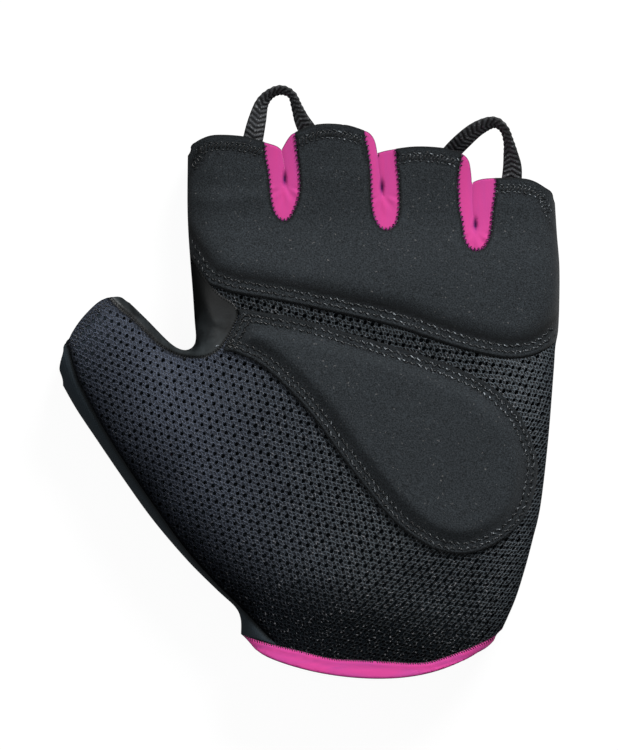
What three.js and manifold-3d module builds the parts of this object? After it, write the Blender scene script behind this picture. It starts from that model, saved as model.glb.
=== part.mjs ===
// A fingerless cycling glove for the left hand, lying on its back with the palm up.
// Millimetres, +Z up, +Y towards the fingers, +X towards the little finger.
// The glove is a hollow pillow over its plan outline, cut along its seams into cloth panels,
// with a padded patch laid on the palm and two pull-off loops sewn into the finger rims.
import * as THREE from "three";
import { mergeVertices } from "three/addons/utils/BufferGeometryUtils.js";
import Module from "manifold-3d";

const wasm = await Module();
wasm.setup();

// Driving sizes
const SEAM_Z = 10; // height of the side seam above the table
const BACK_DEPTH = 11; // how far the back would swell below the seam, were it not resting flat
const WALL = 1.5; // cloth thickness
const SEAM_GAP = 0.3; // clearance cut along every seam
const SLOT_HALF = 0.35; // half the gap between neighbouring fingers
const SLOT_TURNS = 6; // steps round the blind end of a slot
const ROUND_SIDE = 4; // how quickly the outer sides round over
const ROUND_SLOT = 3.4; // the same between the fingers
const RIM_REACH = 9; // how far walls are drawn past the open rims before they are trimmed
const CUFF_REACH = { thumb_side: 13, little_side: 19 }; // the same at the cuff
const FAR = 90; // a distance past the whole glove

// Padding
const PATCH_EDGE = 0.8; // suede thickness proud of the mesh at its stitched edge
const KNUCKLE_SWELL = 2.2; // extra height of the foam under the finger panel
const PAD_GAP = 0.35; // clearance under the heel pad
const PAD_EDGE = 1.1; // thickness of the heel pad's stitched edge
const PAD_SWELL = 3.2; // extra height of the gel inside its stitches
const STITCH_MARGIN = 2.8; // flat stitched margin round a pad
const SWELL_RUN = 5.5; // distance over which a pad rises to full height

// Pull loops
const LOOP_WIDTH = 5.2;
const LOOP_THICK = 1.2;
const LOOP_STEPS = 20;

// Resolution of the cloth
const STEP = 4.6; // greatest distance between stations along a wall
const TURN = 0.65; // greatest turn between stations, in radians
const RINGS = 3; // rows between a wall and the flat of the cloth
const FLAT_INSET = 4.6; // where those rows end, in from the wall
const GRID = 6.8; // spacing of points on the flat of the cloth
const CLEAR = 3.7; // how near two points on the flat may lie
const LINE_STEP = 0.4; // spacing of points along a curve that is measured from
const CUT_STEP = 2.6; // spacing of points along a curve that cuts

// Height of the palm above the side seam, by distance up the hand
const PALM_ROWS = [
  { y: -76, height: 15 },
  { y: -45, height: 16.5 },
  { y: -10, height: 16 },
  { y: 20, height: 13.5 },
  { y: 42, height: 10.2 },
  { y: 90, height: 9.4 },
];

// Soft mounds on the palm: the ball of the thumb and the heel of the hand
const MOUNDS = [
  { x: -26, y: -18, reach: 20, height: 2.4 },
  { x: 30, y: -30, reach: 24, height: 1.2 },
];

// The thumb stands out from the palm along its own axis, from a point at its root. It grows thinner
// and lifts off the table between two distances along that axis, left of a line that the hand ends at.
const THUMB = { x: -40, y: -5, dx: -0.62, dy: 0.785, from: -12, to: 24, height: 10.6, lift: 7 };
const HAND_EDGE = { from: -35, to: -26 };
const CURL = { from: 36, to: 64, lift: 4 }; // the finger ends curl up off the table

// Plan outline, as walls between the open rims, each drawn clockwise with the glove on its right
const THUMB_SIDE = [
  [-17, -63], [-17.1, -59.2], [-18.5, -56.2], [-23, -52], [-30.5, -44.5], [-39, -34.5],
  [-46.2, -24.5], [-53, -14.5], [-58, -7], [-61.4, -1],
];
const INDEX_SIDE = [
  [-44.8, 19.8], [-40.5, 15.6], [-35.5, 10.5], [-33, 8.6], [-30.8, 8], [-29, 8.9], [-28.3, 11],
  [-28.5, 15.5], [-29, 23], [-29.6, 30.5], [-30, 38], [-30.2, 45.5], [-30.2, 56.8],
];
const LITTLE_SIDE = [
  [61.6, 43], [62, 36.8], [62.4, 29.2], [62.4, 20.5], [62, 13], [61.2, 8.8], [60.9, 3],
  [59.5, -14.5], [57.5, -30.8], [55.5, -39.5], [53.5, -47], [51.2, -54.5], [48, -62],
];

// Centre lines of the slots between the fingers, from the rim down to the crotch
const SLOTS = {
  index_middle: [[-6.9, 58.1], [-6.2, 54.2], [-5.8, 51], [-5.5, 48.5]],
  middle_ring: [[17.1, 57], [17.5, 53], [18, 49.2], [18.5, 46.5]],
  ring_little: [[40.6, 49.8], [40.8, 45.5], [41, 41.8], [41.5, 39]],
};

// Open rims, each from left to right across its finger
const FINGER_RIMS = [
  [[-36, 50], [-30.1, 56.8], [-29.4, 59.2], [-26.6, 60.9], [-23, 61.6], [-16.5, 61.2], [-11.5, 59.9],
    [-8.2, 58.9], [-6.9, 58]],
  [[-6.9, 58], [-5.1, 60.9], [-3.5, 62.2], [1.7, 64.2], [6, 64.5], [10, 63.9], [13.2, 62.9],
    [15.2, 62], [16.5, 60.1], [17.1, 57.1]],
  [[17.1, 57.1], [19.2, 57.7], [24.2, 58.5], [28, 58.7], [31.9, 58.5], [34.5, 58.1], [38.2, 56.9],
    [39.9, 55.2], [40.5, 52.5], [40.7, 49.8]],
  [[40.7, 49.8], [43, 50.6], [46.8, 50.9], [53.5, 50.8], [56.8, 50], [59.4, 48.5], [60.8, 47.1],
    [61.6, 44.5], [66, 36]],
];
const THUMB_RIM = [
  [-66, -12], [-61.6, -1.5], [-62.4, 3.5], [-61.6, 7.2], [-60.2, 10.5], [-57, 15.5], [-52.8, 19.8],
  [-49.8, 21.2], [-47, 21.2], [-44.8, 19.8], [-38, 17],
];
const CUFF_RIM = [
  [58, -55], [48, -62], [46, -64.8], [43.2, -67.1], [38.8, -69.6], [32.2, -72.1], [25.2, -73.6],
  [17.5, -74.1], [9, -73.6], [0.2, -72.1], [-8.2, -69.6], [-13.2, -67.1], [-17, -63], [-26, -58],
];

// Seams, as lines in plan
const KNUCKLE_SEAM = [
  [-36, 40], [-29.5, 30], [-26, 25.2], [-22, 23.4], [-18.2, 22.2], [-7.8, 20.4], [2.8, 18.2],
  [13.2, 15.9], [22.8, 13.5], [29.8, 11.1], [35.5, 9.2], [43, 7.1], [48.8, 6.1], [53.6, 6.2],
  [58, 7.5], [62, 10.5], [68, 16],
];
const CUFF_SEAM = [
  [-24, -60], [-17, -63], [-11.8, -64.8], [-2.2, -67.1], [5.2, -68.9], [12.8, -69.4],
  [20.2, -69.8], [26.5, -70.1], [30.8, -69.6], [38.2, -67.2], [42.8, -65.6], [48, -62], [56, -57],
];
const SIDE_STRIP_SEAM = [
  [-61.5, 14], [-58.5, 2.5], [-56.2, -2.8], [-51.2, -12], [-45.5, -21], [-38.5, -31.2],
  [-31, -41.5], [-23.5, -50], [-17.2, -56.2], [-11.8, -62], [-4, -70],
];
const GUSSET_SEAM = [
  [-36, 40], [-29.5, 29.2], [-25.2, 23.8], [-21, 20.8], [-18.8, 19.3], [-17.8, 17.2], [-19, 13.8],
  [-20.8, 10.5], [-23.1, 7.8], [-26, 6.4], [-29.5, 6.2], [-33.2, 7], [-37.2, 9.2], [-39.8, 11.6],
  [-44, 15.8], [-47.8, 18.9], [-53, 25],
];
const FOURCHETTE_SEAMS = {
  index_middle: [
    [-11.4, 72], [-11.2, 59.9], [-10.9, 55.8], [-10.2, 52.1], [-9.7, 46.9], [-9.2, 43.8],
    [-8.2, 41.5], [-6.5, 40.3], [-4.9, 40.8], [-3.7, 42.8], [-2.6, 45.8], [-2.2, 49], [-2.5, 54.1],
    [-3.2, 59.2], [-4, 72],
  ],
  middle_ring: [
    [13.2, 72], [13.8, 62.2], [14.5, 58.1], [15.2, 53.3], [15.4, 48.1], [15.6, 43.8], [16.3, 40.9],
    [17.6, 38.7], [19.2, 38], [20.7, 38.5], [21.9, 39.9], [22.5, 42.6], [22.6, 46], [22.3, 52.1],
    [21.9, 55.6], [21.4, 72],
  ],
  ring_little: [
    [38.6, 72], [38, 56.4], [37.4, 53.3], [37.2, 49.1], [37.4, 43.8], [38.1, 40.2], [38.7, 36],
    [39.8, 33.8], [41.5, 32.9], [43.4, 33.4], [44.8, 35.3], [45.5, 38], [45.9, 42.2], [46.4, 46],
    [46.8, 50.8], [47, 72],
  ],
};
const HEEL_PAD = [
  [-18.2, 18.4], [-14, 17.8], [-5.5, 16.4], [2.8, 14.4], [11.5, 11.8], [22.8, 8.5], [36.2, 3.8],
  [45.5, -1], [52.2, -7.5], [56, -15.2], [57.2, -21.8], [55.6, -30.2], [52.5, -35.8], [47.1, -40.2],
  [40, -42.8], [33, -42.2], [26.5, -39], [20, -33.6], [14.5, -27], [8, -18.5], [1, -8.8], [-6, -1],
  [-12.5, 4.6], [-19, 7.6], [-21.4, 8], [-20, 11.4], [-18.4, 14.2], [-17.4, 17],
];

// Pull loops: the band's middle line, and how far its outer edge turns up out of the flat
const LOOP_ROWS = {
  index_middle: [
    { x: -15.2, y: 52.5, z: 15.4, turn: 12 },
    { x: -15, y: 57.5, z: 15.4, turn: 14 },
    { x: -14.3, y: 61.5, z: 15.4, turn: 22 },
    { x: -13.4, y: 65.5, z: 15.2, turn: 38 },
    { x: -12.3, y: 70, z: 15, turn: 58 },
    { x: -9.8, y: 72.4, z: 14.8, turn: 70 },
    { x: -6.8, y: 72.8, z: 14.6, turn: 76 },
    { x: -4.3, y: 71.6, z: 14.6, turn: 78 },
    { x: -2.9, y: 68.5, z: 14.8, turn: 66 },
    { x: -1.6, y: 65.6, z: 15, turn: 46 },
    { x: 0.3, y: 62.5, z: 15.1, turn: 30 },
    { x: 1.8, y: 57.5, z: 15.4, turn: 20 },
    { x: 2, y: 53, z: 15.4, turn: 18 },
  ],
  ring_little: [
    { x: 33.4, y: 47.5, z: 13.9, turn: 26 },
    { x: 33.2, y: 52.5, z: 12.9, turn: 36 },
    { x: 34, y: 57, z: 11.8, turn: 42 },
    { x: 39.2, y: 61.9, z: 14.2, turn: 44 },
    { x: 42.6, y: 64.4, z: 15, turn: 52 },
    { x: 46.2, y: 65.3, z: 14.8, turn: 66 },
    { x: 48.6, y: 63.8, z: 14.8, turn: 72 },
    { x: 50, y: 60.6, z: 14.9, turn: 68 },
    { x: 50.7, y: 57, z: 15, turn: 50 },
    { x: 51, y: 53.5, z: 14.8, turn: 28 },
    { x: 50.6, y: 48.5, z: 14.3, turn: 12 },
    { x: 50.5, y: 43.5, z: 14.3, turn: 8 },
  ],
};

const material = (color, roughness) => new THREE.MeshStandardMaterial({ color, roughness, metalness: 0 });
const MATERIALS = {
  knit: material(0x1b2025, 0.8),
  mesh: material(0x22252c, 0.85),
  suede: material(0x2d3235, 0.95),
  leather: material(0x2a2c2e, 0.6),
  elastic: material(0xdc3f9a, 0.75),
  webbing: material(0x26292c, 0.8),
};

// Small helpers
const point = ([x, y]) => new THREE.Vector2(x, y);
const smooth = (from, to, v) => THREE.MathUtils.smoothstep(v, from, to);
const curveThrough = (rows, spacing) => {
  const curve = new THREE.SplineCurve(rows.map(point));
  return curve.getSpacedPoints(Math.ceil(curve.getLength() / spacing));
};
const fineCurve = (rows) => curveThrough(rows, LINE_STEP);
const cutCurve = (rows) => curveThrough(rows, CUT_STEP);
const rightOf = (line, i) => {
  const along = line[Math.min(i + 1, line.length - 1)].clone().sub(line[Math.max(i - 1, 0)]).normalize();
  return new THREE.Vector2(along.y, -along.x);
};
const run = (from, to) => {
  const steps = Math.ceil(from.distanceTo(to));
  return Array.from({ length: steps }, (_, i) => from.clone().lerp(to, i / steps));
};
const extended = (line, atStart, atEnd) => {
  const last = line.length - 1;
  const before = line[0].clone().sub(line[2]).setLength(atStart).add(line[0]);
  const after = line[last].clone().sub(line[last - 2]).setLength(atEnd).add(line[last]);
  return [...run(before, line[0]), ...line, ...run(after, line[last]).reverse()];
};

function distanceToLine(p, line) {
  let best = Infinity;
  for (let i = 0; i + 1 < line.length; i++) {
    const a = line[i];
    const ex = line[i + 1].x - a.x;
    const ey = line[i + 1].y - a.y;
    const t = THREE.MathUtils.clamp(((p.x - a.x) * ex + (p.y - a.y) * ey) / (ex * ex + ey * ey), 0, 1);
    best = Math.min(best, Math.hypot(p.x - a.x - t * ex, p.y - a.y - t * ey));
  }
  return best;
}

function contains(polygon, p) {
  let inside = false;
  for (let i = 0, j = polygon.length - 1; i < polygon.length; j = i++) {
    const a = polygon[i];
    const b = polygon[j];
    if (a.y > p.y !== b.y > p.y && p.x < ((b.x - a.x) * (p.y - a.y)) / (b.y - a.y) + a.x) inside = !inside;
  }
  return inside;
}

// The walls of the plan outline: three outer sides, and a U round each slot
const slotWall = (rows) => {
  const middle = fineCurve(rows);
  const line = extended(middle, RIM_REACH, 0).slice(0, -1);
  const end = line.length - 1;
  const side = (i, sign) => line[i].clone().addScaledVector(rightOf(line, i), sign * SLOT_HALF);
  const start = rightOf(line, end).angle();
  const round = [];
  for (let step = 1; step < SLOT_TURNS; step++) {
    const a = start + (Math.PI * step) / SLOT_TURNS;
    round.push(line[end].clone().add(new THREE.Vector2(Math.cos(a), Math.sin(a)).multiplyScalar(SLOT_HALF)));
  }
  const left = line.map((_, i) => side(i, 1));
  const right = line.map((_, i) => side(i, -1)).reverse();
  return [...left, ...round, ...right];
};
const WALLS = [
  { line: extended(fineCurve(THUMB_SIDE), CUFF_REACH.thumb_side, RIM_REACH), round: ROUND_SIDE },
  { line: extended(fineCurve(INDEX_SIDE), RIM_REACH, RIM_REACH), round: ROUND_SIDE },
  ...Object.values(SLOTS).map((rows) => ({ line: slotWall(rows), round: ROUND_SLOT })),
  { line: extended(fineCurve(LITTLE_SIDE), RIM_REACH, CUFF_REACH.little_side), round: ROUND_SIDE },
];

// Stations along a wall, close enough together to follow its bends
for (const wall of WALLS) {
  wall.stations = [];
  let gone = Infinity;
  let turned = 0;
  wall.line.forEach((p, i) => {
    const inward = rightOf(wall.line, i);
    if (i > 0) {
      gone += p.distanceTo(wall.line[i - 1]);
      turned += Math.abs(inward.angleTo(rightOf(wall.line, i - 1)));
    }
    if (gone >= STEP || turned >= TURN || i === wall.line.length - 1) {
      wall.stations.push({ p, inward });
      gone = 0;
      turned = 0;
    }
  });
}

// How far along the thumb a point lies: 0 on the hand, 1 at the thumb's rim
function alongThumb(x, y) {
  const s = (x - THUMB.x) * THUMB.dx + (y - THUMB.y) * THUMB.dy;
  return smooth(THUMB.from, THUMB.to, s) * (1 - smooth(HAND_EDGE.from, HAND_EDGE.to, x));
}

function palmHeight(x, y) {
  const i = THREE.MathUtils.clamp(PALM_ROWS.findIndex((row) => row.y > y), 1, PALM_ROWS.length - 1);
  const [a, b] = [PALM_ROWS[i - 1], PALM_ROWS[i]];
  let height = THREE.MathUtils.lerp(a.height, b.height, smooth(a.y, b.y, y));
  for (const m of MOUNDS) {
    height += m.height * Math.exp(-((x - m.x) ** 2 + (y - m.y) ** 2) / (m.reach * m.reach));
  }
  return THREE.MathUtils.lerp(height, THUMB.height, alongThumb(x, y));
}

// How full the glove is at a point: 0 at its walls, 1 far from them. own is the wall that a point
// is placed from, and its known distance from it.
function fullness(p, inset, own) {
  let full = 1;
  WALLS.forEach((wall, k) => {
    const away = own && own.wall === k ? own.away : distanceToLine(p, wall.line);
    full *= 1 - Math.exp(-Math.max(0, away - inset) / wall.round);
  });
  return Math.sqrt(full);
}
const topOf = (p, inset, own) => SEAM_Z + (palmHeight(p.x, p.y) - inset) * fullness(p, inset, own);
const bottomOf = (p, inset, own) =>
  Math.max(inset, SEAM_Z - (BACK_DEPTH - inset) * fullness(p, inset, own));

// Rise of the finger ends and of the thumb off the table
function liftOf(x, y) {
  const curl = THREE.MathUtils.clamp((y - CURL.from) / (CURL.to - CURL.from), 0, 1);
  return CURL.lift * curl * curl + THUMB.lift * alongThumb(x, y) ** 2;
}

// Delaunay triangles over a set of points
function delaunay(points) {
  const outside = [[-1e4, -1e4], [1e4, -1e4], [0, 1e4]].map(point);
  const all = [...points, ...outside];
  const n = points.length;
  const circle = (a, b, c) => {
    const [pa, pb, pc] = [all[a], all[b], all[c]];
    const bx = pb.x - pa.x;
    const by = pb.y - pa.y;
    const cx = pc.x - pa.x;
    const cy = pc.y - pa.y;
    const d = 2 * (bx * cy - by * cx);
    const ux = (cy * (bx * bx + by * by) - by * (cx * cx + cy * cy)) / d;
    const uy = (bx * (cx * cx + cy * cy) - cx * (bx * bx + by * by)) / d;
    return { v: [a, b, c], x: pa.x + ux, y: pa.y + uy, r2: ux * ux + uy * uy };
  };
  let triangles = [circle(n, n + 1, n + 2)];
  points.forEach((p, i) => {
    const edges = new Map();
    triangles = triangles.filter((t) => {
      if ((p.x - t.x) ** 2 + (p.y - t.y) ** 2 >= t.r2) return true;
      for (let k = 0; k < 3; k++) {
        const [a, b] = [t.v[k], t.v[(k + 1) % 3]];
        const key = `${Math.min(a, b)}_${Math.max(a, b)}`;
        if (edges.has(key)) edges.delete(key);
        else edges.set(key, [a, b]);
      }
      return false;
    });
    for (const [a, b] of edges.values()) triangles.push(circle(a, b, i));
  });
  return triangles.map((t) => t.v).filter((v) => v.every((i) => i < n));
}

// The flat of the cloth: everything further in than the last row of each wall
const flatEdge = [];
const rimRuns = []; // points across each open rim, between two walls
WALLS.forEach((wall, k) => {
  const inner = wall.stations.map(({ p, inward }) => p.clone().addScaledVector(inward, FLAT_INSET));
  wall.flatStart = flatEdge.length;
  flatEdge.push(...inner);
  const nextWall = WALLS[(k + 1) % WALLS.length].stations[0];
  const from = inner[inner.length - 1];
  const to = nextWall.p.clone().addScaledVector(nextWall.inward, FLAT_INSET);
  const pieces = Math.round(from.distanceTo(to) / STEP);
  rimRuns.push({ first: flatEdge.length, count: pieces - 1 });
  for (let i = 1; i < pieces; i++) flatEdge.push(from.clone().lerp(to, i / pieces));
});
const flatPoints = [...flatEdge];
const tryPoint = (p, clear) => {
  if (!contains(flatEdge, p)) return;
  if (flatPoints.every((q) => q.distanceTo(p) > clear)) flatPoints.push(p);
};
const seamRow = (line, offset) => {
  const every = Math.round(STEP / LINE_STEP);
  for (let i = 0; i < line.length; i += every) {
    tryPoint(line[i].clone().addScaledVector(rightOf(line, i), offset), CLEAR);
  }
};
const closed = (rows) => [...rows, rows[0]];
const padOutline = fineCurve(closed(HEEL_PAD));
seamRow(fineCurve(KNUCKLE_SEAM), -STITCH_MARGIN);
seamRow(fineCurve(KNUCKLE_SEAM), -STITCH_MARGIN - SWELL_RUN);
seamRow(padOutline, STITCH_MARGIN);
seamRow(padOutline, STITCH_MARGIN + SWELL_RUN);
const ROW_STEP = GRID * Math.sqrt(0.75);
for (let row = Math.floor(-FAR / ROW_STEP); row * ROW_STEP < FAR; row++) {
  const shift = row % 2 ? GRID / 2 : 0;
  for (let x = shift - FAR; x < FAR; x += GRID) tryPoint(new THREE.Vector2(x, row * ROW_STEP), CLEAR);
}
const flatTriangles = delaunay(flatPoints)
  .filter(([a, b, c]) => {
    const middle = flatPoints[a].clone().add(flatPoints[b]).add(flatPoints[c]).divideScalar(3);
    return contains(flatEdge, middle);
  })
  .map(([a, b, c]) => {
    const [pa, pb, pc] = [flatPoints[a], flatPoints[b], flatPoints[c]];
    return pb.clone().sub(pa).cross(pc.clone().sub(pa)) > 0 ? [a, b, c] : [a, c, b];
  });

// Solids and geometries
const solid = (geometry) => {
  const bare = geometry.clone();
  bare.deleteAttribute("normal");
  bare.deleteAttribute("uv");
  const merged = mergeVertices(bare, 1e-5);
  const mesh = new wasm.Mesh({
    numProp: 3,
    vertProperties: merged.attributes.position.array,
    triVerts: new Uint32Array(merged.index.array),
  });
  return new wasm.Manifold(mesh);
};
const geometryOf = (made) => {
  const { vertProperties, triVerts, numProp } = made.getMesh();
  const positions = new Float32Array((vertProperties.length / numProp) * 3);
  for (let i = 0; i < positions.length / 3; i++) {
    positions.set(vertProperties.subarray(i * numProp, i * numProp + 3), i * 3);
  }
  return new THREE.BufferGeometry()
    .setAttribute("position", new THREE.BufferAttribute(positions, 3))
    .setIndex(new THREE.BufferAttribute(triVerts, 1));
};

// The whole glove as one closed pillow, inset all round by a distance, and still closed at its rims
function pillow(inset) {
  const positions = [];
  const triangles = [];
  const add = (p, z) => positions.push(p.x, p.y, z) / 3 - 1;
  const pair = (p, own) => {
    const top = add(p, topOf(p, inset, own));
    const atWall = own && own.away <= inset;
    return { top, bottom: atWall ? top : add(p, bottomOf(p, inset, own)) };
  };
  const face = (a, b, c) => triangles.push([a.top, b.top, c.top], [a.bottom, c.bottom, b.bottom]);
  const flat = flatPoints.map((p) => pair(p));
  const rows = WALLS.map((wall, k) =>
    wall.stations.map(({ p, inward }, i) => {
      const across = [];
      for (let ring = 0; ring < RINGS; ring++) {
        const away = inset + (FLAT_INSET - inset) * (ring / RINGS) ** 2;
        across.push(pair(p.clone().addScaledVector(inward, away), { wall: k, away }));
      }
      return [...across, flat[wall.flatStart + i]];
    }),
  );
  for (const stations of rows) {
    for (let i = 0; i + 1 < stations.length; i++) {
      for (let ring = 0; ring < RINGS; ring++) {
        const [a, b] = [stations[i][ring], stations[i][ring + 1]];
        const [c, d] = [stations[i + 1][ring + 1], stations[i + 1][ring]];
        face(a, b, c);
        face(a, c, d);
      }
    }
  }
  flatTriangles.forEach(([a, b, c]) => face(flat[a], flat[b], flat[c]));
  rows.forEach((stations, k) => {
    const across = flat.slice(rimRuns[k].first, rimRuns[k].first + rimRuns[k].count);
    const edge = [...stations.at(-1), ...across, ...rows[(k + 1) % rows.length][0].toReversed()];
    for (let i = 0; i + 1 < edge.length; i++) {
      const [a, b] = [edge[i], edge[i + 1]];
      triangles.push([a.top, b.top, b.bottom], [a.top, b.bottom, a.bottom]);
    }
  });
  const index = triangles.filter(([a, b, c]) => a !== b && b !== c && c !== a).flat();
  const geometry = new THREE.BufferGeometry();
  geometry.setAttribute("position", new THREE.Float32BufferAttribute(positions, 3));
  geometry.setIndex(index);
  return solid(geometry);
}

// Cutters: prisms over a plan outline, and thin blades along a seam, all taller than the glove
const TALL = { from: -5, to: 45 };
function prism(outline, from = TALL.from, to = TALL.to) {
  const geometry = new THREE.ExtrudeGeometry(new THREE.Shape(outline), {
    depth: to - from,
    bevelEnabled: false,
  });
  return solid(geometry.translate(0, 0, from));
}
function blade(rows, from, to) {
  const line = cutCurve(rows);
  const side = (sign) => line.map((p, i) => p.clone().addScaledVector(rightOf(line, i), (sign * SEAM_GAP) / 2));
  return prism([...side(1), ...side(-1).reverse()], from, to);
}
const region = (rows, ...corners) => [...cutCurve(rows), ...corners.map(point)];

// Trim the open rims: everything past a rim is cut away
const beyondFingers = prism([
  ...FINGER_RIMS.flatMap((rows) => cutCurve(rows)),
  ...[[FAR, 36], [FAR, FAR], [-38, FAR], [-38, 50]].map(point),
]);
const beyondThumb = prism(region(THUMB_RIM, [-38, 40], [-FAR, 40], [-FAR, -12]));
const beyondCuff = prism(region(CUFF_RIM, [-26, -FAR], [FAR, -FAR], [FAR, -55]));
const trimmed = (made) => made.subtract(beyondFingers).subtract(beyondThumb).subtract(beyondCuff);

// Cut the hollow glove along its seams
const cloth = trimmed(pillow(0).subtract(pillow(WALL)));
const wrapsRound = [
  prism(region(SIDE_STRIP_SEAM, [-4, -FAR], [-FAR, -FAR], [-FAR, 14])),
  prism(region(GUSSET_SEAM, [-60, 60])),
  prism(region(CUFF_SEAM, [FAR, -57], [FAR, -FAR], [-FAR, -FAR], [-FAR, -60])),
  ...Object.values(FOURCHETTE_SEAMS).map((rows) => prism(region(rows))),
];
const everywhere = [[-FAR, -FAR], [FAR, -FAR], [FAR, FAR], [-FAR, FAR]].map(point);
const sideSeam = wrapsRound.reduce(
  (plate, keep) => plate.subtract(keep),
  prism(everywhere, SEAM_Z - SEAM_GAP / 2, SEAM_Z + SEAM_GAP / 2),
);
const blades = [
  sideSeam,
  blade(KNUCKLE_SEAM, SEAM_Z, TALL.to),
  blade(SIDE_STRIP_SEAM, SEAM_Z - SEAM_GAP / 2, TALL.to),
  blade(GUSSET_SEAM, TALL.from, TALL.to),
  blade(CUFF_SEAM, TALL.from, TALL.to),
  ...Object.values(FOURCHETTE_SEAMS).map((rows) => blade(rows, TALL.from, TALL.to)),
];
const panels = blades.reduce((left, cutter) => left.subtract(cutter), cloth).decompose();

// The panel that holds a place in plan, on the palm side or on the back
const PROBE = 0.4;
function panelAt({ x, y, side }) {
  const p = new THREE.Vector2(x, y);
  const z = side === "palm" ? (topOf(p, 0) + topOf(p, WALL)) / 2 : WALL / 2;
  const probe = solid(new THREE.BoxGeometry(PROBE, PROBE, PROBE).translate(x, y, z));
  return panels.find((made) => made.intersect(probe).volume() > 0);
}

// A pad swells from its stitched margin: share of full height, by distance from its edge
const swell = (away) => smooth(STITCH_MARGIN, STITCH_MARGIN + SWELL_RUN, away);
const knuckleLine = fineCurve(KNUCKLE_SEAM);
const knuckleLift = (p) => {
  const fade = 1 - smooth(26, 42, p.y);
  return PATCH_EDGE + KNUCKLE_SWELL * swell(distanceToLine(p, knuckleLine)) * fade;
};
const padLift = (p) => PAD_SWELL * swell(distanceToLine(p, padOutline));

// Poses a piece in the lying glove: padding raises its upper face, and the glove's ends lift
function posed(made, raise = () => 0, low = WALL, high = 0) {
  const geometry = made instanceof THREE.BufferGeometry ? made : geometryOf(made);
  const position = geometry.attributes.position;
  for (let i = 0; i < position.count; i++) {
    const [x, y, z] = [position.getX(i), position.getY(i), position.getZ(i)];
    const p = new THREE.Vector2(x, y);
    const [under, over] = [topOf(p, low), topOf(p, high)];
    const share = over - under > 1e-3 ? THREE.MathUtils.clamp((z - under) / (over - under), 0, 1) : 0;
    position.setZ(i, z + raise(p) * share + liftOf(x, y));
  }
  return geometry;
}

// A pull loop: a flat band swept along its rows, turning up on edge over the arch
function pullLoop(rows) {
  const path = new THREE.CatmullRomCurve3(rows.map(({ x, y, z }) => new THREE.Vector3(x, y, z)));
  const up = new THREE.Vector3(0, 0, 1);
  const positions = [];
  const index = [];
  for (let i = 0; i <= LOOP_STEPS; i++) {
    const t = i / LOOP_STEPS;
    const place = Math.min(t * (rows.length - 1), rows.length - 1 - 1e-6);
    const row = Math.floor(place);
    const turn = THREE.MathUtils.degToRad(
      THREE.MathUtils.lerp(rows[row].turn, rows[row + 1].turn, place - row),
    );
    const middle = path.getPoint(t);
    const tangent = path.getTangent(t);
    const outward = up.clone().cross(tangent).normalize();
    const wide = outward.multiplyScalar(Math.cos(turn)).addScaledVector(up, Math.sin(turn)).normalize();
    const thick = wide.clone().cross(tangent).normalize().multiplyScalar(LOOP_THICK / 2);
    wide.multiplyScalar(LOOP_WIDTH / 2);
    for (const [w, h] of [[-1, -1], [1, -1], [1, 1], [-1, 1]]) {
      positions.push(...middle.clone().addScaledVector(wide, w).addScaledVector(thick, h));
    }
    if (i === 0) continue;
    for (let k = 0; k < 4; k++) {
      const [a, b] = [4 * (i - 1) + k, 4 * (i - 1) + ((k + 1) % 4)];
      index.push(a, b + 4, b, a, a + 4, b + 4);
    }
  }
  const end = 4 * LOOP_STEPS;
  index.push(0, 1, 2, 0, 2, 3, end, end + 2, end + 1, end, end + 3, end + 2);
  const geometry = new THREE.BufferGeometry();
  geometry.setAttribute("position", new THREE.Float32BufferAttribute(positions, 3));
  geometry.setIndex(index);
  return geometry;
}

// Assembly
const glove = new THREE.Group();
function place(name, geometry, finish) {
  const mesh = new THREE.Mesh(geometry, finish);
  mesh.name = name;
  glove.add(mesh);
}
// Each cloth panel, found by a place that it covers
const PANELS = [
  { name: "back_panel", x: 20, y: 0, side: "back", finish: MATERIALS.knit },
  { name: "palm_mesh", x: 0, y: -50, side: "palm", finish: MATERIALS.mesh },
  { name: "finger_panel", x: 5, y: 30, side: "palm", finish: MATERIALS.suede, raise: knuckleLift },
  { name: "thumb_gusset", x: -23, y: 15, side: "palm", finish: MATERIALS.leather },
  { name: "cuff_binding", x: 15, y: -71.8, side: "palm", finish: MATERIALS.elastic },
  { name: "fourchette_index_middle", x: -6.6, y: 43, side: "palm", finish: MATERIALS.elastic },
  { name: "fourchette_middle_ring", x: 19, y: 41, side: "palm", finish: MATERIALS.elastic },
  { name: "fourchette_ring_little", x: 41.8, y: 35.5, side: "palm", finish: MATERIALS.elastic },
];
for (const panel of PANELS) place(panel.name, posed(panelAt(panel), panel.raise), panel.finish);
const padCloth = pillow(-PAD_GAP - PAD_EDGE)
  .subtract(pillow(-PAD_GAP))
  .intersect(prism(cutCurve(closed(HEEL_PAD)).slice(0, -1), SEAM_Z + 1, TALL.to));
place("heel_pad", posed(padCloth, padLift, -PAD_GAP, -PAD_GAP - PAD_EDGE), MATERIALS.suede);
for (const [name, rows] of Object.entries(LOOP_ROWS)) {
  place(`pull_loop_${name}`, posed(pullLoop(rows)), MATERIALS.webbing);
}

export default glove;
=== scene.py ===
"""A fingerless cycling glove for the left hand, lying on its back with the palm up.

Every cloth piece is a sheet over one shared form: a hollow pillow between the walls of the plan outline.
Lengths in the tables are millimetres in the frame's axes, and meshes are written in metres.
"""

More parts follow.
